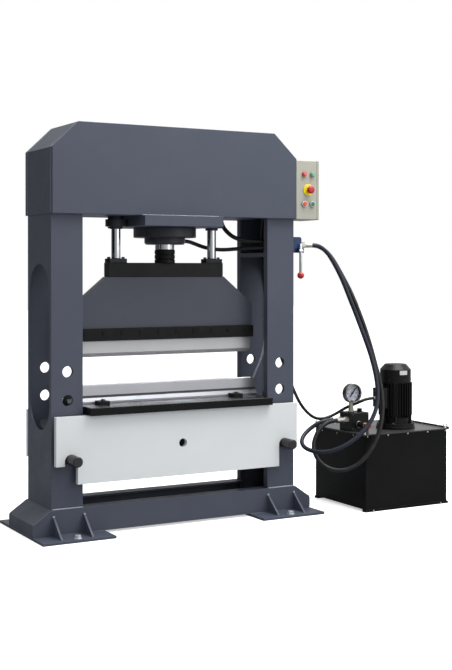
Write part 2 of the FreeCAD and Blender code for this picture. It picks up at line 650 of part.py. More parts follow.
clamps = []
bolts = []
for i, (sx, sy) in enumerate(((-1, -1), (1, -1), (-1, 1), (1, 1))):
    block = doc.addObject("Part::Box", "clamp_block%d" % i)
    bind(block, "Length", d("clamp_half") * 2)
    bind(block, "Width", d("clamp_front") - d("clamp_tip"))
    bind(block, "Height", d("clamp_high") - d("table_high"))
    nose = doc.addObject("Part::Box", "clamp_nose%d" % i)
    bind(nose, "Length", d("clamp_half") * 2)
    bind(nose, "Width", d("rail_deep") - d("clamp_tip") + 2)
    bind(nose, "Height", d("rail_shoulder") - d("table_high"))
    hole = doc.addObject("Part::Cylinder", "clamp_hole%d" % i)
    bind(hole, "Radius", 8.5)
    bind(hole, "Height", 60)
    if sy < 0:
        spot(block, d("clamp_x") * sx - d("clamp_half"), -d("clamp_front"), d("table_high"))
        spot(nose, d("clamp_x") * sx - d("clamp_half"), -d("rail_deep") - 2, d("table_high"))
    else:
        spot(block, d("clamp_x") * sx - d("clamp_half"), d("clamp_tip"), d("table_high"))
        spot(nose, d("clamp_x") * sx - d("clamp_half"), d("clamp_tip"), d("table_high"))
    spot(hole, d("clamp_x") * sx, d("bolt_y") * sy, d("table_high") - 5)
    c1 = doc.addObject("Part::Cut", "clamp_stepped%d" % i)
    c1.Base, c1.Tool = block, nose
    c2 = doc.addObject("Part::Cut", "clamp%d" % i)
    c2.Base, c2.Tool = c1, hole
    clamps.append(c2)
    bolts.append(hex_bolt("clamp_bolt%d" % i, d("clamp_x") * sx, d("bolt_y") * sy, d("clamp_high"),
                          11, 6, 8, d("clamp_high") - d("bed_high"), 13, 2, Rotation(Vector(0, 0, 1), 9 + 21 * i)))
group("die_clamps", clamps)
group("clamp_bolts", bolts)

# ---------------------------------------------------------------- control box
body = new_body("control_box")
wl = d("box_wall")
pad(body, "x", d("box_left"), d("box_right"), rect(-d("box_front"), -d("box_back"), d("box_low"), d("box_high")))
dress(body, "Fillet", 5, lambda e, bb: bb.XLength > 100)
cut(body, "x", d("box_left") + wl, d("box_right"), rect(-d("box_front") + wl, -d("box_back") - wl, d("box_low") + wl, d("box_high") - wl))
cut(body, "y", -d("box_front"), -d("box_front") + wl, both(
    disc(d("knob_left"), d("lamp_height"), d("stem_rad")), disc(d("knob_right"), d("lamp_height"), d("stem_rad")),
    disc(d("estop_x"), d("estop_height"), d("stem_rad")),
    disc(d("knob_left"), d("button_height"), d("stem_rad")), disc(d("knob_right"), d("button_height"), d("stem_rad"))))
# two hinge lugs on the rear edge, each with its upright pin
for z0 in (1560, 1744):
    pad(body, "z", z0, z0 + 8, rect(d("box_right") - 12, d("box_right") - 1, -2, 9.5))
    pad(body, "z", z0, z0 + 8, rect(d("box_right") - 2, d("hinge_x"), 0.6, 9.5))
    pad(body, "z", z0, z0 + 8, disc(d("hinge_x"), d("hinge_y"), 4.5))
    pad(body, "z", z0 + 7, z0 + 34, disc(d("hinge_x"), d("hinge_y"), 2))
body = new_body("control_box_door")
pad(body, "x", d("box_right") + 0.5, d("box_right") + d("door_deep"),
    rect(-d("box_front") - 0.5, -d("box_back"), d("box_low") - 0.5, d("box_high") + 0.5))
dress(body, "Fillet", 4, lambda e, bb: bb.XLength > 10 or (bb.XLength < 0.01 and abs(bb.XMin - VALUES["box_right"] - VALUES["door_deep"]) < 0.01))
# hinge knuckles that sit over the pins
for z0 in (1560, 1744):
    pad(body, "z", z0 + 8.5, z0 + 33, rect(d("hinge_x") - 4.5, d("hinge_x") + 4.5, -3, d("hinge_y")))
    pad(body, "z", z0 + 8.5, z0 + 33, disc(d("hinge_x"), d("hinge_y"), 4.5))
    cut(body, "z", z0 + 8.5, z0 + 33, disc(d("hinge_x"), d("hinge_y"), 2.05))
forward = Rotation(Vector(1, 0, 0), 90)
lamps = []
for i, key in enumerate(("knob_left", "knob_right")):
    bez = doc.addObject("Part::Cylinder", "lamp_bezel%d" % i)
    bind(bez, "Radius", 14.5)
    bind(bez, "Height", 7)
    stem = doc.addObject("Part::Cylinder", "lamp_stem%d" % i)
    bind(stem, "Radius", d("stem_rad") - 0.1)
    bind(stem, "Height", 12)
    stem.Placement = Placement(Vector(0, 0, -12), Rotation())
    lens = doc.addObject("Part::Cone", "lamp_lens%d" % i)
    bind(lens, "Radius1", 11.5)
    bind(lens, "Radius2", 9)
    bind(lens, "Height", 9)
    lens.Placement = Placement(Vector(0, 0, 7), Rotation())
    lamp = doc.addObject("Part::MultiFuse", "lamp%d" % i)
    lamp.Shapes = [bez, stem, lens]
    spot(lamp, d(key), -d("box_front"), d("lamp_height"), forward)
    lamps.append(lamp)
group("pilot_lights", lamps)
body = new_body("estop_button", d("estop_x"), -d("box_front"), d("estop_height"), forward)
turn(body, [(0, -16), (7.9, -16), (7.9, 7), (12, 8), (12, 22), (19, 23), (20, 26), (20, 30), (18, 34), (12, 37), (0, 38)])
for name, key in (("stop_button", "knob_left"), ("start_button", "knob_right")):
    body = new_body(name, d(key), -d("box_front"), d("button_height"), forward)
    turn(body, [(0, -14), (7.9, -14), (7.9, 5), (11, 5), (11, 11.5), (9.5, 13), (0, 13)])

# ---------------------------------------------------------------- lever valve
body = new_body("valve_body")
pad(body, "z", d("valve_low"), d("valve_high"), rect(d("valve_left"), d("valve_right"), -d("valve_front"), -d("valve_back")))
pad(body, "x", d("lever_x") - 16, d("lever_x") - 11, rect(-d("lever_y") - 9, -d("valve_front"), d("lever_height") - 9, d("lever_height") + 14))
pad(body, "x", d("lever_x") + 11, d("lever_x") + 14, rect(-d("lever_y") - 9, -d("valve_front"), d("lever_height") - 9, d("lever_height") + 14))
pad(body, "x", d("lever_x") - 16, d("lever_x") + 14, disc(-d("lever_y"), d("lever_height"), 4))
cut(body, "y", -d("valve_front"), -d("valve_back"), poly([
    (d("valve_right") - 9, d("valve_high") + 1), (d("valve_right") + 1, d("valve_high") + 1), (d("valve_right") + 1, d("valve_high") - 9)]))
body = new_body("valve_lever", d("lever_x"), -d("lever_y"), d("lever_height"))
pad(body, "x", -10.6, 10.6, both(disc(0, 0, 9.5), disc(0, 0, 4.05)))
pad(body, "z", d("lever_low") - d("lever_height"), -6.5, disc(0, 0, d("lever_rad")))
pad(body, "x", -4, 4, rect(-4.4, 4.4, 7, d("lever_top") - d("lever_height")))
pad(body, "x", -4, 4, disc(0, d("lever_top") - d("lever_height"), 4.4))
body = new_body("lever_ball", d("lever_x"), -d("lever_y"), d("ball_height"))
ball_flat = d("lever_low") - d("ball_height")
sk = new_sketch(body, "XZ_Plane", 0)
R = d("ball_rad")
pts = []
for k in range(13):
    a = math.radians(-90 + 150 * k / 12.0)
    pts.append((R.v * math.cos(a) if k else 0.0, R.v * math.sin(a)))
polygon(sk, pts[:1] + [(x, z) for x, z in pts[1:]] + [(0, pts[-1][1])])
feat = body.newObject("PartDesign::Revolution", "ball_turn")
feat.Profile = sk
feat.ReferenceAxis = (sk, ["V_Axis"])
feat.Angle = 360
body.Tip = feat

# ---------------------------------------------------------------- power pack
tl, tr, tf, tb = d("tank_left"), d("tank_right"), d("tank_front"), d("tank_back")
body = new_body("tank")
pad(body, "z", d("tank_low"), d("tank_high"), rect(tl, tr, -tf, tb))
dress(body, "Fillet", 4, lambda e, bb: bb.ZLength > 100)
pad(body, "z", d("floor"), d("tank_low"), rect(tl - 2, tr + 6, -tf - 4, -tf + 26))
pad(body, "z", d("floor"), d("tank_low"), rect(tl - 2, tr + 6, tb - 26, tb + 4))
tw = d("tank_wall")
cut(body, "z", d("tank_low") + tw, d("tank_high"), rect(tl + tw, tr - tw, -tf + tw, tb - tw))
body = new_body("tank_lid")
pad(body, "z", d("tank_high"), d("lid_high"), both(
    rect(d("lid_left"), d("lid_right"), -d("lid_front"), d("lid_back")), disc(d("motor_x"), d("motor_y"), 20)))
# low upstand along the right edge
pad(body, "z", d("lid_high"), d("lid_high") + 8, rect(d("lid_right") - 4, d("lid_right"), -d("lid_front"), d("lid_back")))

mz = d("lid_high")
body = new_body("motor_housing", d("motor_x"), d("motor_y"))
sr = d("shaft_rad") + 0.06
turn(body, [(sr, mz), (d("motor_flange_rad"), mz), (d("motor_flange_rad"), d("motor_flange_mid") - 1),
            (d("motor_flange_rad") - 4, d("motor_flange_mid")), (d("motor_flange_rad") - 4, d("motor_flange_high")),
            (d("motor_core_rad"), d("motor_flange_high")), (d("motor_core_rad"), d("motor_high")),
            (sr, d("motor_high")), (sr, d("motor_high") - 10), (52, d("motor_high") - 10), (52, mz + 32), (sr, mz + 32)])
fin = pad(body, "y", -1.6, 1.6, poly([
    (d("motor_core_rad") - 3, d("fin_low")), (d("motor_core_rad") + 1, d("fin_low")), (d("fin_rad"), d("fin_low") + 16),
    (d("fin_rad"), d("motor_high") - 2), (d("motor_core_rad") - 3, d("motor_high") - 2)]))
pattern = body.newObject("PartDesign::PolarPattern", "fins")
pattern.Originals = [fin]
pattern.Axis = (fin.Profile[0], ["V_Axis"])
pattern.Angle = 360
pattern.Occurrences = 36
body.Tip = pattern
# four upright bosses for the tie bolts
for deg in (53, 143, 233, 323):
    t = math.radians(deg)
    pad(body, "z", mz + 28, d("motor_high") - 2, disc(q(77 * math.cos(t)), q(77 * math.sin(t)), 8.5))
# saddle under the terminal box, on the side towards the press
pad(body, "z", d("tbox_low") - 5, d("tbox_high") + 5,
    rect(d("tbox_right") - d("motor_x"), -(d("motor_core_rad") - 6), -38, 38))
cut(body, "z", d("tbox_low") - 8, d("tbox_high") + 8, rect(-100, d("tbox_right") - d("motor_x"), -60, 60))

body = new_body("fan_cowl", d("motor_x"), d("motor_y"))
cw = d("cowl_wall")
turn(body, [(d("cowl_rad") - cw, d("motor_high") - 1.5), (d("cowl_rad"), d("motor_high") - 1.5), (d("cowl_rad"), d("cowl_shoulder")),
            (d("cowl_top_rad"), d("cowl_high")), (0, d("cowl_high")), (0, d("cowl_high") - cw),
            (d("cowl_top_rad") - 0.8, d("cowl_high") - cw), (d("cowl_rad") - cw, d("cowl_shoulder") - 0.8)])
cutting = cut(body, "z", d("cowl_high") - cw, d("cowl_high"), rect(20, d("cowl_top_rad") - 7, -2.2, 2.2))
pattern = body.newObject("PartDesign::PolarPattern", "air_slots")
pattern.Originals = [cutting]
pattern.Axis = (cutting.Profile[0], ["N_Axis"])
pattern.Angle = 360
pattern.Occurrences = 14
body.Tip = pattern

body = new_body("motor_rotor", d("motor_x"), d("motor_y"))
turn(body, [(0, mz - 70), (d("shaft_rad"), mz - 70), (d("shaft_rad"), mz + 50), (51.4, mz + 50), (51.4, d("motor_high") - 30),
            (d("shaft_rad"), d("motor_high") - 30), (d("shaft_rad"), d("motor_high") + 18), (24, d("motor_high") + 18),
            (24, d("motor_high") + 34), (0, d("motor_high") + 34)])
blade = pad(body, "y", -1.5, 1.5, rect(10, 72, d("motor_high") + 18, d("motor_high") + 50))
pattern = body.newObject("PartDesign::PolarPattern", "fan_blades")
pattern.Originals = [blade]
pattern.Axis = (blade.Profile[0], ["V_Axis"])
pattern.Angle = 360
pattern.Occurrences = 7
body.Tip = pattern

body = new_body("terminal_box")
pad(body, "x", d("tbox_left"), d("tbox_right"), rect(d("motor_y") - d("tbox_half"), d("motor_y") + d("tbox_half"), d("tbox_low"), d("tbox_high")))
dress(body, "Fillet", 4, lambda e, bb: bb.XLength > 20 or (bb.XLength < 0.01 and abs(bb.XMin - VALUES["tbox_left"]) < 0.01))

body = new_body("oil_pump", d("motor_x"), d("motor_y"))
turn(body, [(sr, d("tank_high") - 16), (62, d("tank_high") - 16), (62, d("tank_high")), (sr, d("tank_high"))])
pad(body, "z", d("tank_high") - 120, d("tank_high") - 16, both(rect(-42, 42, -34, 34), disc(0, 0, sr)))
pad(body, "z", d("tank_high") - 145, d("tank_high") - 120, disc(0, 0, 30))

body = new_body("manifold_block")
pad(body, "z", d("lid_high"), d("man_high"), rect(d("man_left"), d("man_right"), -d("man_front"), -d("man_back")))
dress(body, "Chamfer", 2, lambda e, bb: bb.DiagonalLength > 50)
pad(body, "z", d("man_high"), d("man_high") + 4, disc(d("gauge_x"), -205, 17))
pad(body, "z", d("man_high"), d("man_high") + 17, disc(1053, -190, 13))
pad(body, "y", -d("man_front") - 6, -d("man_front"), disc(d("relief_x"), d("relief_height"), 18))
pad(body, "y", -d("man_front") - 60, -d("man_front") - 6, disc(d("relief_x"), d("relief_height"), 15))
pad(body, "y", -d("relief_out"), -d("man_front") - 60, disc(d("relief_x"), d("relief_height"), 11.5))

body = new_body("pressure_gauge")
gx, gz, gf = d("gauge_x"), d("gauge_height"), d("gauge_front")
pad(body, "y", -gf + d("gauge_deep") - 12, -gf + d("gauge_deep"), disc(gx, gz, d("gauge_rad")))
pad(body, "y", -gf, -gf + d("gauge_deep") - 12, both(disc(gx, gz, d("gauge_rad")), disc(gx, gz, d("gauge_rad") - 5)))
pad(body, "z", d("man_high") + 4, gz - d("gauge_rad") + 12, disc(gx, -205, 11))
pad(body, "z", d("man_high") + 4, d("man_high") + 22, disc(gx, -205, 14))
body = new_body("gauge_needle", gx, -gf + 12, gz, forward.multiply(Rotation(Vector(0, 0, 1), -40)))
pad(body, "z", -3, 3, poly([(-1.8, -24), (1.8, -24), (0.8, 37), (-0.8, 37)]))
pad(body, "z", -7.9, 5, disc(0, 0, 3.5))

body = new_body("relief_knob", d("relief_x"), -d("relief_out"), d("relief_height"), forward)
turn(body, [(0, 0), (9, 0), (13, 2), (14, 5), (14, 22), (12, 26), (0, 26)])


def fitting(name, x, y, z, direction, length, hexr, tuber, hex_share=0.4):
    """A hose end: hexagon nut against the port and a smooth ferrule."""
    turnto = Rotation(Vector(0, 0, 1), direction)
    nut = doc.addObject("Part::Prism", name + "_nut")
    nut.Polygon = 6
    bind(nut, "Circumradius", hexr)
    bind(nut, "Height", length * hex_share)
    ferrule = doc.addObject("Part::Cylinder", name + "_ferrule")
    bind(ferrule, "Radius", tuber)
    bind(ferrule, "Height", length)
    both_ = doc.addObject("Part::Fuse", name)
    both_.Base, both_.Tool = nut, ferrule
    spot(both_, x, y, z, turnto)
    return both_


XP, XN = Vector(1, 0, 0), Vector(-1, 0, 0)
fits = [
    fitting("valve_fit_a", d("valve_right"), -132, 1384, XP, 70, 16, 13.2),
    fitting("valve_fit_b", d("valve_right"), -98, 1384, XP, 70, 16, 13.2),
    fitting("man_fit_a", d("man_left"), -215, 470, XN, 74, 16, 13.2),
    fitting("man_fit_b", d("man_left"), -150, 466, XN, 58, 16, 13.2),
    fitting("wall_fit_a", d("col_out") - d("col_side"), -84, 1400, XN, 42, 16, 13.2),
    fitting("wall_fit_b", d("col_out") - d("col_side"), -108, 1368, XN, 42, 15, 12.0),
    fitting("port_fit_a", 117.46, 42.75, 1690, Vector(0.9397, 0.342, 0), 25.5, 16, 13.2),
    fitting("port_fit_b", 95.85, 34.88, 1401, Vector(0.9397, 0.342, 0), 28.5, 13.4, 11.4),
    fitting("box_gland", d("head_half") - d("wrap_plate"), -70, 1650, XN, 12, 11, 8.5, 0.6),
    fitting("motor_gland", d("tbox_left"), d("motor_y"), 576, XN, 28, 11, 8.5),
]


def elbow(name, x, y, z, side, reach, down):
    """A small elbow: a barrel out of an upright plate and a nipple turned up or down."""
    barrel = fitting(name + "_barrel", x, y, z, Vector(0, side, 0), reach, 9, 6.5, 0.3)
    nipple = doc.addObject("Part::Cylinder", name + "_nipple")
    bind(nipple, "Radius", 5.5)
    bind(nipple, "Height", 22)
    spot(nipple, x, y + side * (reach - 6), z, Rotation(Vector(0, 0, 1), Vector(0, 0, down)))
    whole = doc.addObject("Part::MultiFuse", name)
    whole.Shapes = [barrel, nipple]
    return whole


inner_face = VALUES["col_half"] - VALUES["col_plate"]
fits += [elbow("drain_elbow_top", 528, -inner_face, 1000, 1, 46, -1),
         elbow("drain_elbow_low", 528, inner_face, 500, -1, 72, 1)]
group("line_fittings", fits)

# ---------------------------------------------------------------- hoses and cable
# Each line is a row of route points; its tube is straight runs joined by
# tangent arcs.


def tube(name, pts, dia):
    sx, sy = VALUES["origin_x"], VALUES["origin_y"]
    P = [Vector(x, y, z) for x, y, z in pts]
    n = len(P)
    runs = [(P[i + 1] - P[i]).Length for i in range(n - 1)]
    edges = []
    start = P[0]
    radii = []
    total = 0.0
    for i in range(1, n - 1):
        u = (P[i] - P[i - 1]).normalize()
        v = (P[i + 1] - P[i]).normalize()
        ang = u.getAngle(v)
        short = min(runs[i - 1], runs[i])
        t = 0.45 * short
        rad = t / math.tan(ang / 2.0)
        radii.append(rad)
        a = P[i] - u * t
        b = P[i] + v * t
        bis = (v - u).normalize()
        centre = P[i] + bis * (rad / math.cos(ang / 2.0))
        mid = centre - bis * rad
        edges.append(Part.LineSegment(start, a).toShape())
        edges.append(Part.Arc(a, mid, b).toShape())
        total += (a - start).Length + rad * ang
        start = b
        if ang > math.radians(91):
            print("  TURN over 90 at", i, name)
    edges.append(Part.LineSegment(start, P[-1]).toShape())
    total += (P[-1] - start).Length
    wire = Part.Wire(edges)
    face = Part.Wire(Part.Circle(P[0], (P[1] - P[0]).normalize(), dia / 2.0).toShape())
    solid = wire.makePipeShell([face], True, False)
    ratio = max(max(runs[i] / runs[i + 1], runs[i + 1] / runs[i]) for i in range(n - 2))
    obj = doc.addObject("Part::Feature", name)
    obj.Label = name
    obj.Shape = solid
    place(obj)
    NODES.append(obj)
    want = math.pi * dia * dia / 4.0 * total
    print("%s length %.0f volume ratio %.4f runs %.0f..%.0f ratio %.2f radii min %.0f:" % (
        name, total, solid.Volume / want, min(runs), max(runs), ratio, min(radii)),
        " ".join("%.0f" % r for r in radii))



PRESSURE_HOSE = [
    (786, -132, 1384), (812, -132, 1384), (839, -132, 1377), (865, -134, 1362), (888, -138, 1340), (906, -145, 1311),
    (928, -158, 1266), (950, -180, 1203), (970, -208, 1121), (990, -246, 1023), (1012, -286, 915), (1033, -327, 801),
    (1036, -374, 671), (1014, -405, 563), (964, -416, 479), (883, -411, 403), (790, -376, 345), (720, -313, 327),
    (687, -235, 339), (696, -176, 363), (734, -137, 394), (786, -130, 430), (830, -144, 456), (870, -150, 466),
    (906, -150, 466)]
RETURN_HOSE = [
    (786, -98, 1384), (818, -98, 1384), (856, -99, 1378), (890, -101, 1361), (920, -105, 1334), (945, -111, 1300),
    (965, -124, 1258), (985, -143, 1208), (1005, -172, 1146), (1024, -205, 1065), (1040, -243, 975),
    (1054, -281, 872), (1064, -320, 757), (1073, -358, 645), (1057, -393, 513), (1011, -409, 390), (930, -399, 281),
    (842, -361, 230), (768, -305, 242), (731, -255, 299), (735, -228, 362), (771, -217, 423), (814, -215, 457),
    (854, -215, 470), (890, -215, 470)]
MOTOR_CABLE = [
    (1118, -224, 576), (1088, -224, 576), (1056, -216, 567), (1030, -198, 552), (1012, -168, 538), (1000, -130, 520),
    (980, -98, 496), (944, -80, 475), (894, -78, 464), (838, -88, 472), (782, -100, 506), (733, -108, 557),
    (697, -110, 620), (669, -103, 691), (646, -87, 765), (624, -65, 847), (605, -43, 931), (592, -22, 1020),
    (585, -6, 1112), (579, 8, 1208), (575, 18, 1304), (573, 18, 1378), (567, 5, 1440), (558, -19, 1494),
    (553, -36, 1540), (551, -45, 1590), (561, -56, 1617), (582, -65, 1638), (611, -70, 1650), (641, -70, 1650)]
UPPER_CYLINDER_HOSE = [
    (141.43, 51.49, 1690), (200.03, 72.82, 1690), (262, 84, 1674), (315, 84, 1636), (345, 76, 1580), (354, 64, 1518),
    (360, 50, 1478), (378, 30, 1446), (404, 6, 1420), (442, -20, 1408), (484, -48, 1402), (526, -72, 1400),
    (570, -84, 1400), (612, -84, 1400)]
LOWER_CYLINDER_HOSE = [
    (122.63, 44.62, 1401), (162, 58.95, 1401), (206, 67, 1388), (255, 64, 1371), (306, 52, 1361), (356, 33, 1358),
    (408, 2, 1363), (457, -38, 1367), (503, -76, 1368), (543, -100, 1368), (580, -108, 1368), (612, -108, 1368)]
DRAIN_TUBE = [
    (528, -96, 978), (528, -96, 935), (528, -92, 895), (528, -81, 853), (528, -62, 808), (528, -32, 765),
    (528, 4, 723), (528, 36, 677), (528, 59, 626), (528, 70, 574), (528, 70, 522)]
tube("pressure_hose", PRESSURE_HOSE, 22)
tube("return_hose", RETURN_HOSE, 22)
tube("motor_cable", MOTOR_CABLE, 16)
tube("upper_cylinder_hose", UPPER_CYLINDER_HOSE, 22)
tube("lower_cylinder_hose", LOWER_CYLINDER_HOSE, 20)
tube("drain_tube", DRAIN_TUBE, 10)

# ---------------------------------------------------------------- write out
doc.recompute()
bad = [o.Name for o in doc.Objects if any(t in ("Invalid", "Error") for t in o.State)]
if bad:
    raise RuntimeError("objects in error: %s" % bad)
os.makedirs("parts", exist_ok=True)
for obj in NODES:
    shape = obj.Shape
    if shape.isNull() or not shape.isValid() or not shape.Solids:
        raise RuntimeError("bad shape: %s" % obj.Label)
    shape.exportStep("parts/%s.step" % obj.Label)
print("%d files" % len(NODES))
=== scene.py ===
import math
import random

import bmesh
import bpy
from mathutils import Matrix, Vector


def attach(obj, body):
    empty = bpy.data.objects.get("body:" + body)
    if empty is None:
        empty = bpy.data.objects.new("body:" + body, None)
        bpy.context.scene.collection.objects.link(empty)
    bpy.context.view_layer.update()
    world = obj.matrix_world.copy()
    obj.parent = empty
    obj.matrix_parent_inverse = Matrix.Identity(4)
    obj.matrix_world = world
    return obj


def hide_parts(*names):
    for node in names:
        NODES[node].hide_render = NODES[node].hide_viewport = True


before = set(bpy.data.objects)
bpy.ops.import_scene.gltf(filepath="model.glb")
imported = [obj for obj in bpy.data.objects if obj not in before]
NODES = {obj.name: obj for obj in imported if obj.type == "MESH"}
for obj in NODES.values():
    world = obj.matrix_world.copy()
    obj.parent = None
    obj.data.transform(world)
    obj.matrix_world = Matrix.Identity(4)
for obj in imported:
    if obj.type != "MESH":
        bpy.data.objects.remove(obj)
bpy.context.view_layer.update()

SHIFT = Vector((-0.374, 0.037, -0.012))
random.seed(7)


def P(x, y, z):
    """A point of the press in millimetres, from its middle and the datum under the floor, as a point of the scene."""
    return Vector((x / 1000.0, y / 1000.0, z / 1000.0)) + SHIFT


# ------------------------------------------------------------------ camera
cam_data = bpy.data.cameras.new("camera")
cam_data.sensor_fit = "VERTICAL"
cam_data.sensor_width = 36.0
cam_data.sensor_height = 36.0
cam_data.lens = 65.24
cam_data.shift_y = -0.0890
cam_data.clip_start = 0.1
cam_data.clip_end = 100.0
cam = bpy.data.objects.new("camera", cam_data)
bpy.context.scene.collection.objects.link(cam)
cam.location = P(-2688.2, -5453.0, 1255.0)
cam.rotation_euler = (math.radians(90.0 - 0.26), 0.0, math.radians(-29.13))
bpy.context.scene.camera = cam


# ------------------------------------------------------------------ node helpers
class Mat:
    """A small builder for one procedural material."""

    def __init__(self, name):
        self.m = bpy.data.materials.new(name)
        self.m.use_nodes = True
        self.t = self.m.node_tree
        self.t.nodes.clear()
        self.out = self.t.nodes.new("ShaderNodeOutputMaterial")
        self.b = self.t.nodes.new("ShaderNodeBsdfPrincipled")
        self.t.links.new(self.b.outputs[0], self.out.inputs[0])
        self.co = self.t.nodes.new("ShaderNodeTexCoord").outputs["Object"]

    def n(self, kind, **props):
        node = self.t.nodes.new(kind)
        for k, v in props.items():
            setattr(node, k, v)
        return node

    def link(self, a, b):
        self.t.links.new(a, b)

    def mapped(self, scale=(1, 1, 1), rot=(0, 0, 0)):
        node = self.n("ShaderNodeMapping")
        node.inputs["Scale"].default_value = scale
        node.inputs["Rotation"].default_value = rot
        self.link(self.co, node.inputs["Vector"])
        return node.outputs[0]

    def noise(self, scale, detail=3.0, rough=0.55, vec=None, distort=0.0):
        node = self.n("ShaderNodeTexNoise")
        node.inputs["Scale"].default_value = scale
        node.inputs["Detail"].default_value = detail
        node.inputs["Roughness"].default_value = rough
        node.inputs["Distortion"].default_value = distort
        self.link(vec or self.co, node.inputs["Vector"])
        return node.outputs["Fac"]

    def wave(self, scale, vec=None, direction="X", distort=0.0, detail=0.0):
        node = self.n("ShaderNodeTexWave")
        node.bands_direction = direction
        node.inputs["Scale"].default_value = scale
        node.inputs["Distortion"].default_value = distort
        node.inputs["Detail"].default_value = detail
        self.link(vec or self.co, node.inputs["Vector"])
        return node.outputs["Fac"]

    def ramp(self, fac, stops):
        node = self.n("ShaderNodeValToRGB")
        el = node.color_ramp.elements
        while len(el) < len(stops):
            el.new(0.5)
        for e, (p, c) in zip(el, stops):
            e.position = p
            e.color = (c[0], c[1], c[2], 1.0) if isinstance(c, (tuple, list)) else (c, c, c, 1.0)
        self.link(fac, node.inputs[0])
        return node.outputs[0]

    def rng(self, fac, a, b, lo, hi):
        node = self.n("ShaderNodeMapRange")
        node.inputs[1].default_value = a
        node.inputs[2].default_value = b
        node.inputs[3].default_value = lo
        node.inputs[4].default_value = hi
        self.link(fac, node.inputs[0])
        return node.outputs[0]

    def mix(self, fac, a, b):
        node = self.n("ShaderNodeMix", data_type="RGBA")
        if isinstance(fac, float):
            node.inputs[0].default_value = fac
        else:
            self.link(fac, node.inputs[0])
        for sock, v in ((node.inputs[6], a), (node.inputs[7], b)):
            if isinstance(v, (tuple, list)):
                sock.default_value = (v[0], v[1], v[2], 1.0)
            else:
                self.link(v, sock)
        return node.outputs[2]

    def math(self, op, a, b=0.0):
        node = self.n("ShaderNodeMath", operation=op)
        for sock, v in ((node.inputs[0], a), (node.inputs[1], b)):
            if isinstance(v, (int, float)):
                sock.default_value = v
            else:
                self.link(v, sock)
        return node.outputs[0]

    def xyz(self):
        node = self.n("ShaderNodeSeparateXYZ")
        self.link(self.co, node.inputs[0])
        return node.outputs

    def edge(self, radius, samples=6):
        """1 on edges of the piece, 0 on its flats, and the rounded normal."""
        bev = self.n("ShaderNodeBevel", samples=samples)
        bev.inputs["Radius"].default_value = radius
        geo = self.n("ShaderNodeNewGeometry")
        dot = self.n("ShaderNodeVectorMath", operation="DOT_PRODUCT")
        self.link(bev.outputs[0], dot.inputs[0])
        self.link(geo.outputs["True Normal"], dot.inputs[1])
        return self.rng(dot.outputs["Value"], 0.995, 0.80, 0.0, 1.0), bev.outputs[0]

    def bump(self, height, strength, distance, normal=None):
        node = self.n("ShaderNodeBump")
        node.inputs["Strength"].default_value = strength
        node.inputs["Distance"].default_value = distance
        self.link(height, node.inputs["Height"])
        if normal is not None:
            self.link(normal, node.inputs["Normal"])
        self.link(node.outputs[0], self.b.inputs["Normal"])
        return node.outputs[0]

    def set(self, **kw):
        for k, v in kw.items():
            sock = self.b.inputs[k.replace("_", " ")]
            if isinstance(v, (int, float)):
                sock.default_value = v
            elif isinstance(v, (tuple, list)):
                sock.default_value = (v[0], v[1], v[2], 1.0)
            else:
                self.link(v, sock)
        return self


def srgb(r, g, b):
    def f(c):
        c /= 255.0
        return c / 12.92 if c <= 0.04045 else ((c + 0.055) / 1.055) ** 2.4
    return (f(r), f(g), f(b))


def scaled(c, k):
    return tuple(min(1.0, x * k) for x in c)


def paint(name, rgb, rough=0.38, spread=0.10, peel=0.25, edge_wear_and_highlight=0.0, edge_wear_and_highlight_rgb=(150, 152, 156), metallic=0.0, coat=0.0, edge=0.0018, dust=0.06, spec=0.35):
    """Sprayed enamel on steel: slight colour drift, orange peel, rounded edges made lighter by thin rubbing and by a
    painted highlight where they catch the light, a little dust.
    """
    m = Mat(name)
    c = srgb(*rgb)
    cloud = m.noise(1.7, 4.0, 0.6)
    fine = m.noise(60.0, 3.0, 0.6)
    col = m.ramp(cloud, [(0.28, scaled(c, 1.0 - spread)), (0.55, c), (0.78, scaled(c, 1.0 + spread))])
    worn_and_lit_edge, normal = m.edge(edge)
    patch = m.rng(m.noise(9.0, 5.0, 0.65), 0.42, 0.62, 0.0, 1.0)
    dusty = m.rng(m.noise(5.0, 6.0, 0.7), 0.48, 0.75, 0.0, dust)
    col = m.mix(dusty, col, srgb(150, 148, 142))
    # lighter edges, standing for thin rubbing of the paint and for a painted highlight where edges catch the light
    if edge_wear_and_highlight > 0:
        col = m.mix(m.math("MULTIPLY", m.math("MULTIPLY", worn_and_lit_edge, patch), edge_wear_and_highlight), col, srgb(*edge_wear_and_highlight_rgb))
    rmap = m.rng(m.noise(7.0, 5.0, 0.6), 0.3, 0.7, rough - 0.06, rough + 0.09)
    m.set(Base_Color=col, Roughness=rmap, Metallic=metallic)
    m.b.inputs["Coat Weight"].default_value = coat
    m.b.inputs["Coat Roughness"].default_value = 0.12
    m.b.inputs["Specular IOR Level"].default_value = spec
    m.bump(m.math("ADD", m.math("MULTIPLY", m.noise(420.0, 2.0, 0.5), 0.6), m.math("MULTIPLY", fine, 0.4)), peel, 0.0006, normal)
    return m.m


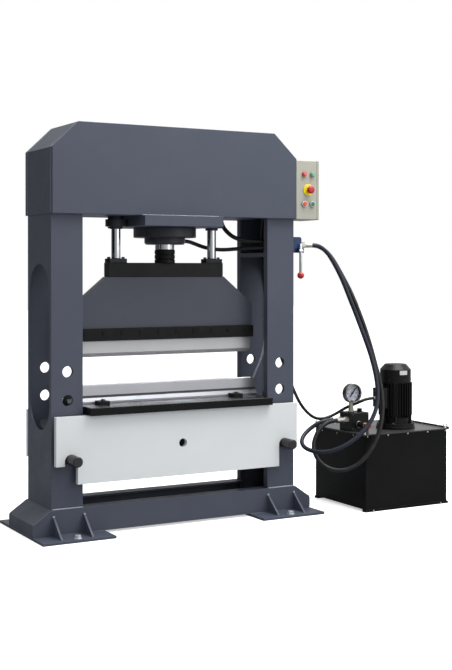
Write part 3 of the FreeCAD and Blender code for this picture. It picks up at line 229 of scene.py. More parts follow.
def metal(name, rgb, rough=0.28, grain=(1, 1, 1), depth=0.15, spread=0.12, stain=0.25, stain_rgb=(90, 84, 78), edge=0.001, metallic=1.0, band=None, painted_end_shade=False):
    """Bare machined metal with directional grinding marks and faint oil stains."""
    m = Mat(name)
    c = srgb(*rgb)
    vec = m.mapped(grain)
    lines = m.noise(130.0, 4.0, 0.7, vec)
    cloud = m.noise(4.0, 5.0, 0.62)
    col = m.ramp(cloud, [(0.3, scaled(c, 1.0 - spread)), (0.5, c), (0.75, scaled(c, 1.0 + spread * 0.5))])
    spot = m.rng(m.noise(14.0, 6.0, 0.7), 0.52, 0.75, 0.0, stain)
    col = m.mix(spot, col, srgb(*stain_rgb))
    if band:
        # a stretch between two heights of the press in another colour; on the die rail these stretches are a painted
        # shadow under the die block and a painted highlight on the slope below it
        _, _, z = m.xyz()
        for low, high, shade in (band if isinstance(band, list) else [band]):
            inside = m.math("MULTIPLY", m.math("GREATER_THAN", z, P(0, 0, low).z), m.math("LESS_THAN", z, P(0, 0, high).z))
            col = m.mix(inside, col, srgb(*shade))
    if painted_end_shade:
        # the right end is duller, as it is seen in the shade of the column
        end = m.rng(m.xyz()[0], P(425, 0, 0).x, P(492, 0, 0).x, 0.0, 0.7)
        col = m.mix(end, col, srgb(84, 82, 82))
        # the left end is darker, a painted shade where it reaches into the column
        start = m.rng(m.xyz()[0], P(-512, 0, 0).x, P(-498, 0, 0).x, 1.0, 0.0)
        col = m.mix(start, col, srgb(34, 38, 38))
    rr = m.math("ADD", m.rng(lines, 0.3, 0.7, rough - 0.07, rough + 0.08), m.rng(cloud, 0.4, 0.8, 0.0, 0.1))
    _, normal = m.edge(edge, 4)
    m.set(Base_Color=col, Roughness=rr, Metallic=metallic)
    m.bump(lines, depth, 0.0004, normal)
    return m.m


def plastic(name, rgb, rough=0.32, spread=0.06, sub=0.0):
    m = Mat(name)
    c = srgb(*rgb)
    col = m.ramp(m.noise(40.0, 3.0, 0.5), [(0.3, scaled(c, 1.0 - spread)), (0.7, scaled(c, 1.0 + spread))])
    m.set(Base_Color=col, Roughness=m.rng(m.noise(90.0, 3.0), 0.3, 0.7, rough - 0.05, rough + 0.08))
    _, normal = m.edge(0.0006, 4)
    m.bump(m.noise(700.0, 2.0), 0.12, 0.0003, normal)
    m.b.inputs["Subsurface Weight"].default_value = sub
    m.b.inputs["Subsurface Radius"].default_value = (0.004, 0.002, 0.002)
    return m.m


def rubber(name, rgb, rough=0.42, sheen=0.0, tint=None):
    """Hose cover: fine wrapped-cloth marks, slightly dusty, soft highlight."""
    m = Mat(name)
    c = srgb(*rgb)
    wrap = m.noise(260.0, 3.0, 0.6)
    col = m.ramp(m.noise(6.0, 4.0, 0.6), [(0.3, scaled(c, 0.85)), (0.7, scaled(c, 1.15))])
    dusty = m.rng(m.noise(22.0, 5.0, 0.7), 0.5, 0.8, 0.0, 0.10)
    col = m.mix(dusty, col, srgb(120, 120, 122))
    m.set(Base_Color=col, Roughness=m.rng(m.noise(30.0, 4.0), 0.3, 0.7, rough - 0.06, rough + 0.10))
    m.bump(m.math("ADD", m.math("MULTIPLY", wrap, 0.5), m.math("MULTIPLY", m.noise(1200.0, 2.0), 0.5)), 0.25, 0.0006)
    m.b.inputs["Specular IOR Level"].default_value = 0.32
    return m.m


# ------------------------------------------------------------------ cords
def free_line(name, points, diameter, material, resolution=10):
    """One open NURBS spline along the route's points, in millimetres of the press."""
    cu = bpy.data.curves.new(name, "CURVE")
    cu.dimensions = "3D"
    cu.resolution_u = resolution
    cu.bevel_depth = diameter / 2.0
    cu.bevel_resolution = 6
    cu.use_fill_caps = True
    sp = cu.splines.new("NURBS")
    sp.points.add(len(points) - 1)
    for i, q in enumerate(points):
        v = P(*q)
        sp.points[i].co = (v.x, v.y, v.z, 1.0)
    sp.order_u = 3
    sp.use_endpoint_u = True
    ob = bpy.data.objects.new(name, cu)
    bpy.context.scene.collection.objects.link(ob)
    ob.data.materials.append(material)
    return ob


HOSE = rubber("hose_cover", (20, 20, 22), 0.42)
HOSE_BLUE = rubber("hose_cover_bluish", (24, 29, 42), 0.34)
HOSE_BLACK = rubber("hose_black", (22, 22, 24), 0.40)
CABLE = rubber("cable_sheath_black", (24, 24, 25), 0.42)

PRESSURE_HOSE = [
    (786, -132, 1384), (812, -132, 1384), (839, -132, 1377), (865, -134, 1362), (888, -138, 1340), (906, -145, 1311),
    (928, -158, 1266), (950, -180, 1203), (970, -208, 1121), (990, -246, 1023), (1012, -286, 915), (1033, -327, 801),
    (1036, -374, 671), (1014, -405, 563), (964, -416, 479), (883, -411, 403), (790, -376, 345), (720, -313, 327),
    (687, -235, 339), (696, -176, 363), (734, -137, 394), (786, -130, 430), (830, -144, 456), (870, -150, 466),
    (906, -150, 466)]
RETURN_HOSE = [
    (786, -98, 1384), (818, -98, 1384), (856, -99, 1378), (890, -101, 1361), (920, -105, 1334), (945, -111, 1300),
    (965, -124, 1258), (985, -143, 1208), (1005, -172, 1146), (1024, -205, 1065), (1040, -243, 975),
    (1054, -281, 872), (1064, -320, 757), (1073, -358, 645), (1057, -393, 513), (1011, -409, 390), (930, -399, 281),
    (842, -361, 230), (768, -305, 242), (731, -255, 299), (735, -228, 362), (771, -217, 423), (814, -215, 457),
    (854, -215, 470), (890, -215, 470)]
MOTOR_CABLE = [
    (1118, -224, 576), (1088, -224, 576), (1056, -216, 567), (1030, -198, 552), (1012, -168, 538), (1000, -130, 520),
    (980, -98, 496), (944, -80, 475), (894, -78, 464), (838, -88, 472), (782, -100, 506), (733, -108, 557),
    (697, -110, 620), (669, -103, 691), (646, -87, 765), (624, -65, 847), (605, -43, 931), (592, -22, 1020),
    (585, -6, 1112), (579, 8, 1208), (575, 18, 1304), (573, 18, 1378), (567, 5, 1440), (558, -19, 1494),
    (553, -36, 1540), (551, -45, 1590), (561, -56, 1617), (582, -65, 1638), (611, -70, 1650), (641, -70, 1650)]
UPPER_CYLINDER_HOSE = [
    (141.43, 51.49, 1690), (200.03, 72.82, 1690), (262, 84, 1674), (315, 84, 1636), (345, 76, 1580), (354, 64, 1518),
    (360, 50, 1478), (378, 30, 1446), (404, 6, 1420), (442, -20, 1408), (484, -48, 1402), (526, -72, 1400),
    (570, -84, 1400), (612, -84, 1400)]
LOWER_CYLINDER_HOSE = [
    (122.63, 44.62, 1401), (162, 58.95, 1401), (206, 67, 1388), (255, 64, 1371), (306, 52, 1361), (356, 33, 1358),
    (408, 2, 1363), (457, -38, 1367), (503, -76, 1368), (543, -100, 1368), (580, -108, 1368), (612, -108, 1368)]
DRAIN_TUBE = [
    (528, -96, 978), (528, -96, 935), (528, -92, 895), (528, -81, 853), (528, -62, 808), (528, -32, 765),
    (528, 4, 723), (528, 36, 677), (528, 59, 626), (528, 70, 574), (528, 70, 522)]

# the drain tube is opaque, and its pale blue-white colour paints the light seen through and off a clear tube
CLEAR = Mat("clear_tube")
CLEAR.set(Base_Color=CLEAR.ramp(CLEAR.noise(20.0), [(0.3, srgb(206, 208, 226)), (0.7, srgb(222, 224, 240))]),
          Roughness=CLEAR.rng(CLEAR.noise(40.0), 0.3, 0.7, 0.15, 0.3))
CLEAR.bump(CLEAR.noise(300.0), 0.1, 0.0003)
CLEAR.b.inputs["Transmission Weight"].default_value = 0.0
CLEAR.b.inputs["IOR"].default_value = 1.2

for name, pts, dia, mat, length, stiff in (
        ("pressure_line", PRESSURE_HOSE, 0.022, HOSE_BLUE, 1.776, "medium"),
        ("return_line", RETURN_HOSE, 0.022, HOSE, 1.858, "medium"),
        ("motor_lead", MOTOR_CABLE, 0.016, CABLE, 1.715, "medium"),
        ("upper_cylinder_line", UPPER_CYLINDER_HOSE, 0.022, HOSE_BLACK, 0.679, "stiff"),
        ("lower_cylinder_line", LOWER_CYLINDER_HOSE, 0.020, HOSE_BLACK, 0.546, "stiff"),
        ("drain_line", DRAIN_TUBE, 0.010, CLEAR.m, 0.499, "medium")):
    line = free_line(name, pts, dia, mat)
    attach(line, "frame")
    node = {"pressure_line": "pressure_hose", "return_line": "return_hose", "motor_lead": "motor_cable",
            "upper_cylinder_line": "upper_cylinder_hose", "lower_cylinder_line": "lower_cylinder_hose",
            "drain_line": "drain_tube"}[name]
    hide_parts(node)

# ------------------------------------------------------------------ materials of the CAD pieces
# the frame's lighter edges are partly paint wear and partly a painted highlight, where edges such as the gussets'
# slopes catch the light from above
FRAME = paint("frame_enamel", (73, 78, 91), rough=0.42, spread=0.05, edge_wear_and_highlight=0.55, edge_wear_and_highlight_rgb=(120, 126, 140), edge=0.0022, dust=0.03, spec=0.22)
FRAME_PUNCH = paint("punch_enamel", (67, 71, 82), rough=0.40, spread=0.05, edge_wear_and_highlight=0.5, edge_wear_and_highlight_rgb=(124, 130, 142), edge=0.0018, dust=0.03)
BED = paint("bed_enamel", (214, 218, 219), rough=0.38, spread=0.03, edge_wear_and_highlight=0.35, edge_wear_and_highlight_rgb=(225, 228, 230), edge=0.0022, dust=0.03)
BOX = paint("box_powder_coat", (166, 166, 154), rough=0.44, spread=0.03, peel=0.45, edge_wear_and_highlight=0.3, edge_wear_and_highlight_rgb=(215, 216, 210), edge=0.0012, dust=0.03)
BLACK = paint("black_enamel", (26, 26, 28), rough=0.40, spread=0.16, edge_wear_and_highlight=0.5, edge_wear_and_highlight_rgb=(70, 72, 76), edge=0.0014, dust=0.02, spec=0.15)
TANK = paint("tank_enamel", (12, 12, 12), rough=0.36, spread=0.20, edge_wear_and_highlight=0.45, edge_wear_and_highlight_rgb=(64, 66, 70), edge=0.0014, dust=0.006, spec=0.12)
LID = paint("lid_enamel", (56, 56, 58), rough=0.30, spread=0.06, peel=0.04, edge_wear_and_highlight=0.6, edge_wear_and_highlight_rgb=(150, 152, 156), edge=0.0014, coat=0.1, dust=0.01, spec=0.25)
MOTOR = paint("motor_enamel", (16, 16, 17), rough=0.34, spread=0.18, edge_wear_and_highlight=0.6, edge_wear_and_highlight_rgb=(74, 76, 80), edge=0.0012, coat=0.0, dust=0.006, spec=0.2)
MANIFOLD = paint("manifold_blackened", (22, 23, 24), rough=0.40, spread=0.15, edge_wear_and_highlight=0.6, edge_wear_and_highlight_rgb=(90, 92, 96), edge=0.0014, coat=0.0, dust=0.01, spec=0.2)
TABLE = paint("table_gloss_black", (9, 9, 10), rough=0.22, spread=0.12, peel=0.06, edge_wear_and_highlight=0.6, edge_wear_and_highlight_rgb=(84, 86, 90), edge=0.0016, coat=0.1, dust=0.005, spec=0.18)
DARKGREY = paint("dark_grey_enamel", (46, 49, 56), rough=0.38, spread=0.10, edge_wear_and_highlight=0.5, edge_wear_and_highlight_rgb=(96, 100, 108), edge=0.0018, spec=0.3)
BLUE = paint("valve_enamel", (22, 44, 84), rough=0.32, spread=0.45, edge_wear_and_highlight=0.7, edge_wear_and_highlight_rgb=(70, 96, 140), edge=0.0014, coat=0.1, dust=0.06, spec=0.3)
OXIDE = metal("blackened_steel", (23, 23, 24), rough=0.44, grain=(1, 6, 6), depth=0.12, spread=0.2, stain=0.2, stain_rgb=(66, 62, 58), metallic=0.75)
# the die rail's bands are painted light: a painted shadow at 637-649 under the die block and a painted highlight at
# 612-637; its ends carry painted shade inside the columns
GROUND = metal("ground_steel", (192, 193, 198), rough=0.34, grain=(0.06, 1, 1), depth=0.05, spread=0.05, stain=0.06, stain_rgb=(150, 146, 142), metallic=0.6, band=[(637, 649, (92, 90, 92)), (612, 637, (150, 152, 158))], painted_end_shade=True)
ANCHOR = metal("bright_bolt_steel", (205, 209, 216), rough=0.34, grain=(1, 1, 1), depth=0.05, spread=0.05, stain=0.08, stain_rgb=(150, 150, 156), metallic=0.55)
PINS = metal("pin_steel", (62, 61, 62), rough=0.36, grain=(1, 1, 1), depth=0.08, spread=0.10, stain=0.15, stain_rgb=(70, 66, 62), metallic=0.8)
# the blade's right end carries painted shade from the column
BLADE = metal("blade_steel", (190, 192, 192), rough=0.36, grain=(0.05, 1, 1), depth=0.04, spread=0.05, stain=0.06, stain_rgb=(150, 150, 150), metallic=0.5, painted_end_shade=True)
CHROME = metal("hard_chrome", (205, 208, 212), rough=0.09, grain=(1, 1, 0.2), depth=0.04, spread=0.04, stain=0.06, stain_rgb=(120, 110, 96))
GUIDE = metal("guide_rod_steel", (205, 208, 212), rough=0.10, grain=(1, 1, 0.2), depth=0.04, spread=0.04, stain=0.06, stain_rgb=(120, 110, 96), band=(1280, 1313, (40, 41, 44)))
ZINC = metal("zinc_plate", (188, 188, 180), rough=0.32, grain=(1, 1, 1), depth=0.10, spread=0.10, stain=0.2, stain_rgb=(140, 134, 112))
BOLT = metal("dark_bolt_steel", (74, 75, 78), rough=0.36, grain=(1, 1, 1), depth=0.10, spread=0.15, stain=0.25, stain_rgb=(58, 54, 50), metallic=0.85)
CASE = metal("gauge_case_steel", (92, 90, 92), rough=0.28, grain=(1, 1, 1), depth=0.05, spread=0.06, stain=0.08, band=(500, 559, (190, 184, 168)))
RED = plastic("red_knob", (176, 34, 38), 0.30, sub=0.03)
ORANGE = plastic("orange_red_cap", (214, 74, 48), 0.34, sub=0.05)
GREEN = plastic("green_cap", (40, 110, 84), 0.34, sub=0.05)
YELLOW = plastic("yellow_ring", (236, 216, 30), 0.40)
WHITE = plastic("white_ring", (214, 214, 208), 0.40)
NEEDLE = plastic("needle_blue", (28, 40, 72), 0.45)
BLACKP = plastic("black_plastic", (26, 26, 28), 0.42)


def lamp_material():
    """Two pilot lamps in one piece: a red one on the left, a green one on the right, the rest of the piece a dull red.
    """
    m = Mat("pilot_lamp")
    x, y, z = m.xyz()
    mid = P(735, 0, 0).x
    side = m.math("GREATER_THAN", x, mid)
    face = m.math("LESS_THAN", y, P(0, -184.5, 0).y)
    lens = m.mix(side, srgb(196, 42, 48), srgb(64, 160, 122))
    grain = m.rng(m.noise(160.0, 3.0), 0.3, 0.7, 0.0, 0.25)
    lens = m.mix(grain, lens, srgb(230, 150, 140))
    col = m.mix(face, srgb(120, 50, 50), lens)
    m.set(Base_Color=col, Roughness=m.rng(m.noise(50.0), 0.3, 0.7, 0.16, 0.30))
    _, normal = m.edge(0.002, 6)
    m.bump(m.noise(300.0), 0.05, 0.0004, normal)
    m.b.inputs["Coat Weight"].default_value = 0.5
    return m.m


LAMP = lamp_material()

LOOK = {
    FRAME: ["left_foot", "right_foot", "base_front_beam", "base_rear_beam", "left_column", "right_column",
            "head_front_plate", "head_rear_plate", "head_wrap", "head_floor_plate", "cylinder_mount_plate", "bed_spacers"],
    FRAME_PUNCH: ["punch_body"],
    BED: ["bed_front_plate", "bed_rear_plate"],
    BOX: ["control_box", "control_box_door"],
    BLACK: ["ram_plate", "die_clamps"],
    TANK: ["tank"],
    LID: ["tank_lid"],
    MOTOR: ["motor_housing", "fan_cowl", "terminal_box"],
    MANIFOLD: ["manifold_block"],
    TABLE: ["table_plate"],
    DARKGREY: ["cylinder_barrel", "cylinder_gland", "guide_bushes", "motor_rotor", "oil_pump"],
    BLUE: ["valve_body"],
    OXIDE: ["rod_adapter", "punch_clamp_bar", "clamp_bar_screws"],
    PINS: ["bed_pins"],
    GROUND: ["die_rail", "die_block"],
    BLADE: ["punch_blade"],
    CHROME: ["piston_rod", "valve_lever"],
    GUIDE: ["left_guide_rod", "right_guide_rod"],
    ZINC: ["line_fittings"],
    ANCHOR: ["anchor_bolts"],
    BOLT: ["clamp_bolts"],
    CASE: ["pressure_gauge"],
    RED: ["estop_button", "lever_ball", "relief_knob"],
    ORANGE: ["stop_button"],
    GREEN: ["start_button"],
    NEEDLE: ["gauge_needle"],
    LAMP: ["pilot_lights"],
}
for material, names in LOOK.items():
    for name in names:
        ob = NODES[name]
        if not ob.material_slots:
            ob.data.materials.append(material)
        for s in ob.material_slots:
            s.material = material

# ------------------------------------------------------------------ mesh helpers


def obj_from(bm, name, material, body, smooth=False):
    me = bpy.data.meshes.new(name)
    bm.to_mesh(me)
    bm.free()
    ob = bpy.data.objects.new(name, me)
    bpy.context.scene.collection.objects.link(ob)
    me.materials.append(material)
    if smooth:
        for p in me.polygons:
            p.use_smooth = True
    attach(ob, body)
    return ob


def frame_to(axis):
    """Rotation that turns +Z to the axis."""
    return Vector((0, 0, 1)).rotation_difference(Vector(axis).normalized()).to_matrix().to_4x4()


def lathe(bm, profile, at, axis=(0, 0, 1), segments=32, sides=None):
    """Adds a turned piece: profile is (radius, height) in mm, from one end of the axis to the other."""
    rot = frame_to(axis)
    n = sides or segments
    rings = []
    for r, h in profile:
        ring = []
        for k in range(n):
            a = 2 * math.pi * k / n
            v = rot @ Vector((r / 1000.0 * math.cos(a), r / 1000.0 * math.sin(a), h / 1000.0))
            ring.append(bm.verts.new(at + v))
        rings.append(ring)
    for a, b in zip(rings[:-1], rings[1:]):
        for k in range(n):
            bm.faces.new((a[k], a[(k + 1) % n], b[(k + 1) % n], b[k]))
    bm.faces.new(list(reversed(rings[0])))
    bm.faces.new(rings[-1])


def smooth_by_angle(ob, degrees=35):
    me = ob.data
    for p in me.polygons:
        p.use_smooth = True
    bm = bmesh.new()
    bm.from_mesh(me)
    lim = math.radians(degrees)
    for e in bm.edges:
        e.smooth = len(e.link_faces) == 2 and e.calc_face_angle(3.2) < lim
    bm.to_mesh(me)
    bm.free()
    return ob


def bolt(bm, at, axis, r=6.5, h=5.0, washer=0.0, hexagon=True, turn=0.0):
    """A small screw head with chamfered top, on a washer."""
    rot = frame_to(axis)
    if washer:
        lathe(bm, [(washer, 0.0), (washer, 0.9), (washer - 0.4, 1.3)], at, axis, 24)
    n = 6 if hexagon else 20
    base = 1.3 if washer else 0.0
    prof = [(r, base), (r, base + h * 0.82), (r * 0.86, base + h)]
    rings = []
    for rr, hh in prof:
        ring = []
        for k in range(n):
            a = 2 * math.pi * k / n + turn
            ring.append(bm.verts.new(at + rot @ Vector((rr / 1000 * math.cos(a), rr / 1000 * math.sin(a), hh / 1000))))
        rings.append(ring)
    for a, b in zip(rings[:-1], rings[1:]):
        for k in range(n):
            bm.faces.new((a[k], a[(k + 1) % n], b[(k + 1) % n], b[k]))
    bm.faces.new(list(reversed(rings[0])))
    if hexagon:
        bm.faces.new(rings[-1])
    else:
        # sunk hexagon socket
        hexa = []
        for k in range(n):
            a = 2 * math.pi * k / n + turn
            hexa.append(bm.verts.new(at + rot @ Vector((r * 0.45 / 1000 * math.cos(a), r * 0.45 / 1000 * math.sin(a), (base + h) / 1000))))
        low = []
        for k in range(n):
            a = 2 * math.pi * k / n + turn
            low.append(bm.verts.new(at + rot @ Vector((r * 0.42 / 1000 * math.cos(a), r * 0.42 / 1000 * math.sin(a), (base + h * 0.45) / 1000))))
        for k in range(n):
            bm.faces.new((rings[-1][k], rings[-1][(k + 1) % n], hexa[(k + 1) % n], hexa[k]))
            bm.faces.new((hexa[k], hexa[(k + 1) % n], low[(k + 1) % n], low[k]))
        bm.faces.new(low)


WELD_FAINT = paint("weld_bead_dull", (84, 90, 104), rough=0.42, spread=0.08, peel=0.1, edge_wear_and_highlight=0.2, edge_wear_and_highlight_rgb=(120, 126, 140), edge=0.001, dust=0.03)
# the light weld paint is a painted highlight: it draws seams and plate top edges that catch the light far lighter than
# the frame's enamel
WELD_HIGHLIGHT = paint("weld_bead_painted_highlight", (150, 157, 172), rough=0.30, spread=0.12, peel=0.1, edge_wear_and_highlight=0.7, edge_wear_and_highlight_rgb=(176, 182, 196), edge=0.001, dust=0.05)


def weld(bm, a, b, lean, r=4.0, pitch=4.0):
    """A welded seam from a to b (mm): a rippled fillet bead lying in the corner, leaning to the side given."""
    a, b = P(*a), P(*b)
    along = (b - a)
    length = along.length
    along.normalize()
    lean = Vector(lean).normalized()
    side = along.cross(lean).normalized()
    n = max(2, int(length * 1000 / pitch))
    rings = []
    seg = 8
    for i in range(n + 1):
        t = i / n
        k = r * (1.0 + 0.10 * random.uniform(-1, 1) + (0.12 if i % 2 else -0.08))
        if i in (0, n):
            k *= 0.45
        c = a + along * (length * t) + side * (random.uniform(-0.3, 0.3) / 1000)
        ring = []
        for s in range(seg):
            ang = 2 * math.pi * s / seg
            ring.append(bm.verts.new(c + (lean * math.cos(ang) + side * math.sin(ang)) * (k / 1000.0)))
        rings.append(ring)
    for p, q in zip(rings[:-1], rings[1:]):
        for s in range(seg):
            bm.faces.new((p[s], p[(s + 1) % seg], q[(s + 1) % seg], q[s]))
    bm.faces.new(list(reversed(rings[0])))
    bm.faces.new(rings[-1])


# weld seams of the frame, the heavy ones and the fine ones; those built in bm take the light paint, a painted highlight
bm = bmesh.new()
bf = bmesh.new()
for f in (-1, 1):
    y = 156 * f
    yo = 166 * f
    # column foot plates on the base beams' top edges, in the light paint as a painted highlight on those bright top
    # edges
    for s in (-1, 1):
        weld(bm, (506 * s, y + 3.6 * f, 143), (660 * s, y + 3.6 * f, 143), (0, f, 1), 4.2)
        weld(bm, (507 * s, y + 8.4 * f, 144.2), (659 * s, y + 8.4 * f, 144.2), (0, f, 1), 2.6)
        weld(bf, (664 * s, yo, 141.5), (752 * s, yo, 80.5), (s * 0.3, f, 0.6), 2.2)
        weld(bf, (753 * s, yo, 79), (753 * s, yo, 27), (s, f, 0), 1.6)
        for gx in (502, 655):
            weld(bf, (gx * s - 5, yo + 0.5 * f, 30), (gx * s - 5, yo + 0.5 * f, 108), (-1, f, 0), 1.8)
            weld(bf, (gx * s + 5, yo + 0.5 * f, 30), (gx * s + 5, yo + 0.5 * f, 108), (1, f, 0), 1.8)
            weld(bf, (gx * s - 5, yo + 3 * f, 24.5), (gx * s - 5, yo + 100 * f, 24.5), (-1, 0, 1), 2.0)
            weld(bf, (gx * s + 5, yo + 3 * f, 24.5), (gx * s + 5, yo + 100 * f, 24.5), (1, 0, 1), 2.0)
            # the bead at each gusset's top is in the light paint, a painted highlight
            weld(bm, (gx * s - 6, yo + 3.5 * f, 111), (gx * s + 6, yo + 3.5 * f, 111), (0, f, 1), 6.0, 3.0)
        weld(bf, (400 * s, yo + 0.5 * f, 24.5), (640 * s, yo + 0.5 * f, 24.5), (0, f, 1), 2.0)
        # column against the head plates
        weld(bf, (506 * s, y + 0.5 * f, 1516.5), (661 * s, y + 0.5 * f, 1516.5), (0, f, -1), 2.8)
    # mounting plate against the head plates, in the light paint as a painted highlight
    weld(bm, (-210, 181.5 * f, 1516), (210, 181.5 * f, 1516), (0, f, -0.2), 4.6)
    # head plates against the folded wrap; the left-hand seams take the light paint, a painted highlight on the head's
    # left edges
    weld(bm, (-664.5, y, 1520), (-664.5, y, 1822), (-1, 0, 0), 1.2, 6)
    weld(bf, (664.5, y, 1822), (664.5, y, 1824), (1, 0, 0), 1.6, 6)
    weld(bm, (-664, y, 1825), (-533.5, y, 1947), (-0.7, 0, 0.7), 1.2, 6)
    weld(bf, (664, y, 1825), (533.5, y, 1947), (0.7, 0, 0.7), 1.6, 6)
for s in (-1, 1):
    for f in (-1, 1):
        weld(bf, (505 * s, 135 * f, 1342.5), (641 * s, 135 * f, 1342.5), (0, -f, 1), 2.6)
        weld(bf, (505 * s, 135 * f, 1321.5), (641 * s, 135 * f, 1321.5), (0, -f, -1), 2.6)
welds = obj_from(bm, "frame_welds_painted_highlight", WELD_HIGHLIGHT, "frame")
smooth_by_angle(welds, 60)
fine = obj_from(bf, "frame_fine_welds", WELD_FAINT, "frame")
smooth_by_angle(fine, 60)

# ------------------------------------------------------------------ screws and small fittings
bm = bmesh.new()
for s in (-1, 1):
    for e in (-1, 1):
        bolt(bm, P(266 * s + 38 * e, 0, 1310), (0, 0, 1), 8.2, 7.5, washer=11.0, turn=random.random())
rod_bolts = obj_from(bm, "guide_foot_bolts", BOLT, "ram")

bm = bmesh.new()
for x in (974, 1104, 1231, 1362, 1482):
    bolt(bm, P(x, -372, 400), (0, -1, 0), 4.8, 2.6, hexagon=False)
    bolt(bm, P(x, 94, 397), (0, 1, 0), 4.4, 2.6, hexagon=False)
for y, z in ((24, 388), (-116, 390), (-264, 396)):
    bolt(bm, P(962, y, z), (-1, 0, 0), 4.8, 2.6, hexagon=False)
    bolt(bm, P(1492, y, 395), (1, 0, 0), 4.4, 2.6, hexagon=False)
for x in (1010, 1447):
    bolt(bm, P(x, -376, 18), (0, -1, 0), 4.6, 3.4, turn=random.random())
    bolt(bm, P(x, 98, 18), (0, 1, 0), 4.6, 3.4, turn=random.random())
for y in (60, -20, -148, -290):
    bolt(bm, P(1500, y, 414), (-1, 0, 0), 3.4, 3.2, hexagon=False)
tank_screws = obj_from(bm, "tank_screws", ZINC, "frame")

bm = bmesh.new()
for k in range(4):
    a = math.radians(45 + 90 * k)
    bolt(bm, P(1263 + 87 * math.cos(a), -224 + 87 * math.sin(a), 439), (0, 0, 1), 7.5, 6.0, washer=10.0, turn=random.random())
for k in range(6):
    a = math.radians(30 + 60 * k)
    bolt(bm, P(1263 + 82 * math.cos(a), -224 + 82 * math.sin(a), 671), (math.cos(a), math.sin(a), 0), 3.6, 2.4, hexagon=False)
for y in (-262, -186):
    for z in (534, 620):
        bolt(bm, P(1146, y, z), (-1, 0, 0), 3.6, 2.2, hexagon=False)
motor_screws = obj_from(bm, "motor_screws", BOLT, "frame")

# eyebolts at the corners of the tank lid
bm = bmesh.new()
for x, y in ((962, -364), (1489, -362), (962, 86), (1489, 86)):
    at = P(x, y, 411)
    lathe(bm, [(9.0, 0), (9.0, 2.2), (5.0, 3.4), (4.0, 6.5)], at, (0, 0, 1), 20)
    ring_c = at + Vector((0, 0, 0.0145))
    yaw = 0.6 if x < 1200 else -0.4
    ux = Vector((math.cos(yaw), math.sin(yaw), 0))
    n1, n2 = 24, 10
    grid = []
    for i in range(n1):
        a = 2 * math.pi * i / n1
        cdir = ux * math.cos(a) + Vector((0, 0, 1)) * math.sin(a)
        nrm = ux.cross(Vector((0, 0, 1)))
        ring = []
        for k in range(n2):
            b = 2 * math.pi * k / n2
            ring.append(bm.verts.new(ring_c + cdir * (0.0085 + 0.0026 * math.cos(b)) + nrm * (0.0026 * math.sin(b))))
        grid.append(ring)
    for i in range(n1):
        for k in range(n2):
            bm.faces.new((grid[i][k], grid[(i + 1) % n1][k], grid[(i + 1) % n1][(k + 1) % n2], grid[i][(k + 1) % n2]))
eyes = obj_from(bm, "lid_eyebolts", ZINC, "frame")
smooth_by_angle(eyes, 40)

# filler cap with breather on the lid, behind the manifold
bm = bmesh.new()
lathe(bm, [(32, 0), (32, 4), (26, 6), (26, 9), (30, 11), (30, 30), (28, 33), (12, 34)], P(1440, 10, 411), (0, 0, 1), 40)
filler = obj_from(bm, "filler_cap", BLACKP, "frame")
smooth_by_angle(filler, 30)

# blank rating plate on the motor cowl, curved to it
bm = bmesh.new()
R = 0.0822
base = P(1263, -224, 0)
cols = 12
quad = []
for i in range(cols + 1):
    a = math.radians(-111 + 32 * i / cols)
    for z in (0.699, 0.721):
        quad.append((a, z))
for layer in (0.0, 0.0006):
    for a, z in quad:
        bm.verts.new(base + Vector(((R + layer) * math.cos(a), (R + layer) * math.sin(a), z)))
bm.verts.ensure_lookup_table()
n = len(quad)
for i in range(cols):
    j = 2 * i
    bm.faces.new([bm.verts[n + j], bm.verts[n + j + 2], bm.verts[n + j + 3], bm.verts[n + j + 1]])
    bm.faces.new([bm.verts[j + 1], bm.verts[j + 3], bm.verts[j + 2], bm.verts[j]])
    bm.faces.new([bm.verts[j], bm.verts[j + 2], bm.verts[n + j + 2], bm.verts[n + j]])
    bm.faces.new([bm.verts[j + 3], bm.verts[j + 1], bm.verts[n + j + 1], bm.verts[n + j + 3]])
bm.faces.new([bm.verts[0], bm.verts[n], bm.verts[n + 1], bm.verts[1]])
e = 2 * cols
bm.faces.new([bm.verts[e + 1], bm.verts[n + e + 1], bm.verts[n + e], bm.verts[e]])
PLATE = metal("blank_plate_aluminium", (206, 207, 208), rough=0.42, grain=(1, 1, 0.1), depth=0.05, spread=0.05, stain=0.10, metallic=0.5)
plate = obj_from(bm, "blank_motor_plate", PLATE, "frame")

# ------------------------------------------------------------------ control box details
bm = bmesh.new()
lathe(bm, [(30, 0), (30, 2.2), (29, 3.0), (13, 3.0), (13, 2.0)], P(736, -180, 1667), (0, -1, 0), 64)
ring = obj_from(bm, "estop_ring", YELLOW, "frame")
smooth_by_angle(ring, 30)

DARKMET = metal("dark_bezel_metal", (96, 98, 96), rough=0.30, grain=(1, 1, 1), depth=0.05, stain=0.1)
bm = bmesh.new()
bm2 = bmesh.new()
for x in (711, 760):
    # a raised metal collar with a pale inner ring round each push button
    at = P(x, -180, 1595)
    lathe(bm, [(15.6, 0), (15.6, 4.6), (14.8, 5.6)], at, (0, -1, 0), 48)
    rot = frame_to((0, -1, 0))
    # annulus as a turned ring with a hole for the cap
    outer, inner = [], []
    prof = [(15.4, 5.6), (15.4, 8.2), (14.6, 9.2), (11.9, 9.2), (11.4, 8.2), (11.4, 5.6)]
    rings = []
    for r, h in prof:
        row = []
        for k in range(48):
            a = 2 * math.pi * k / 48
            row.append(bm2.verts.new(at + rot @ Vector((r / 1000 * math.cos(a), r / 1000 * math.sin(a), h / 1000))))
        rings.append(row)
    for a, b in zip(rings, rings[1:] + rings[:1]):
        for k in range(48):
            bm2.faces.new((a[k], a[(k + 1) % 48], b[(k + 1) % 48], b[k]))
collars = obj_from(bm, "button_collars", DARKMET, "frame")
smooth_by_angle(collars, 30)
pale = obj_from(bm2, "button_pale_rings", WHITE, "frame")
smooth_by_angle(pale, 30)

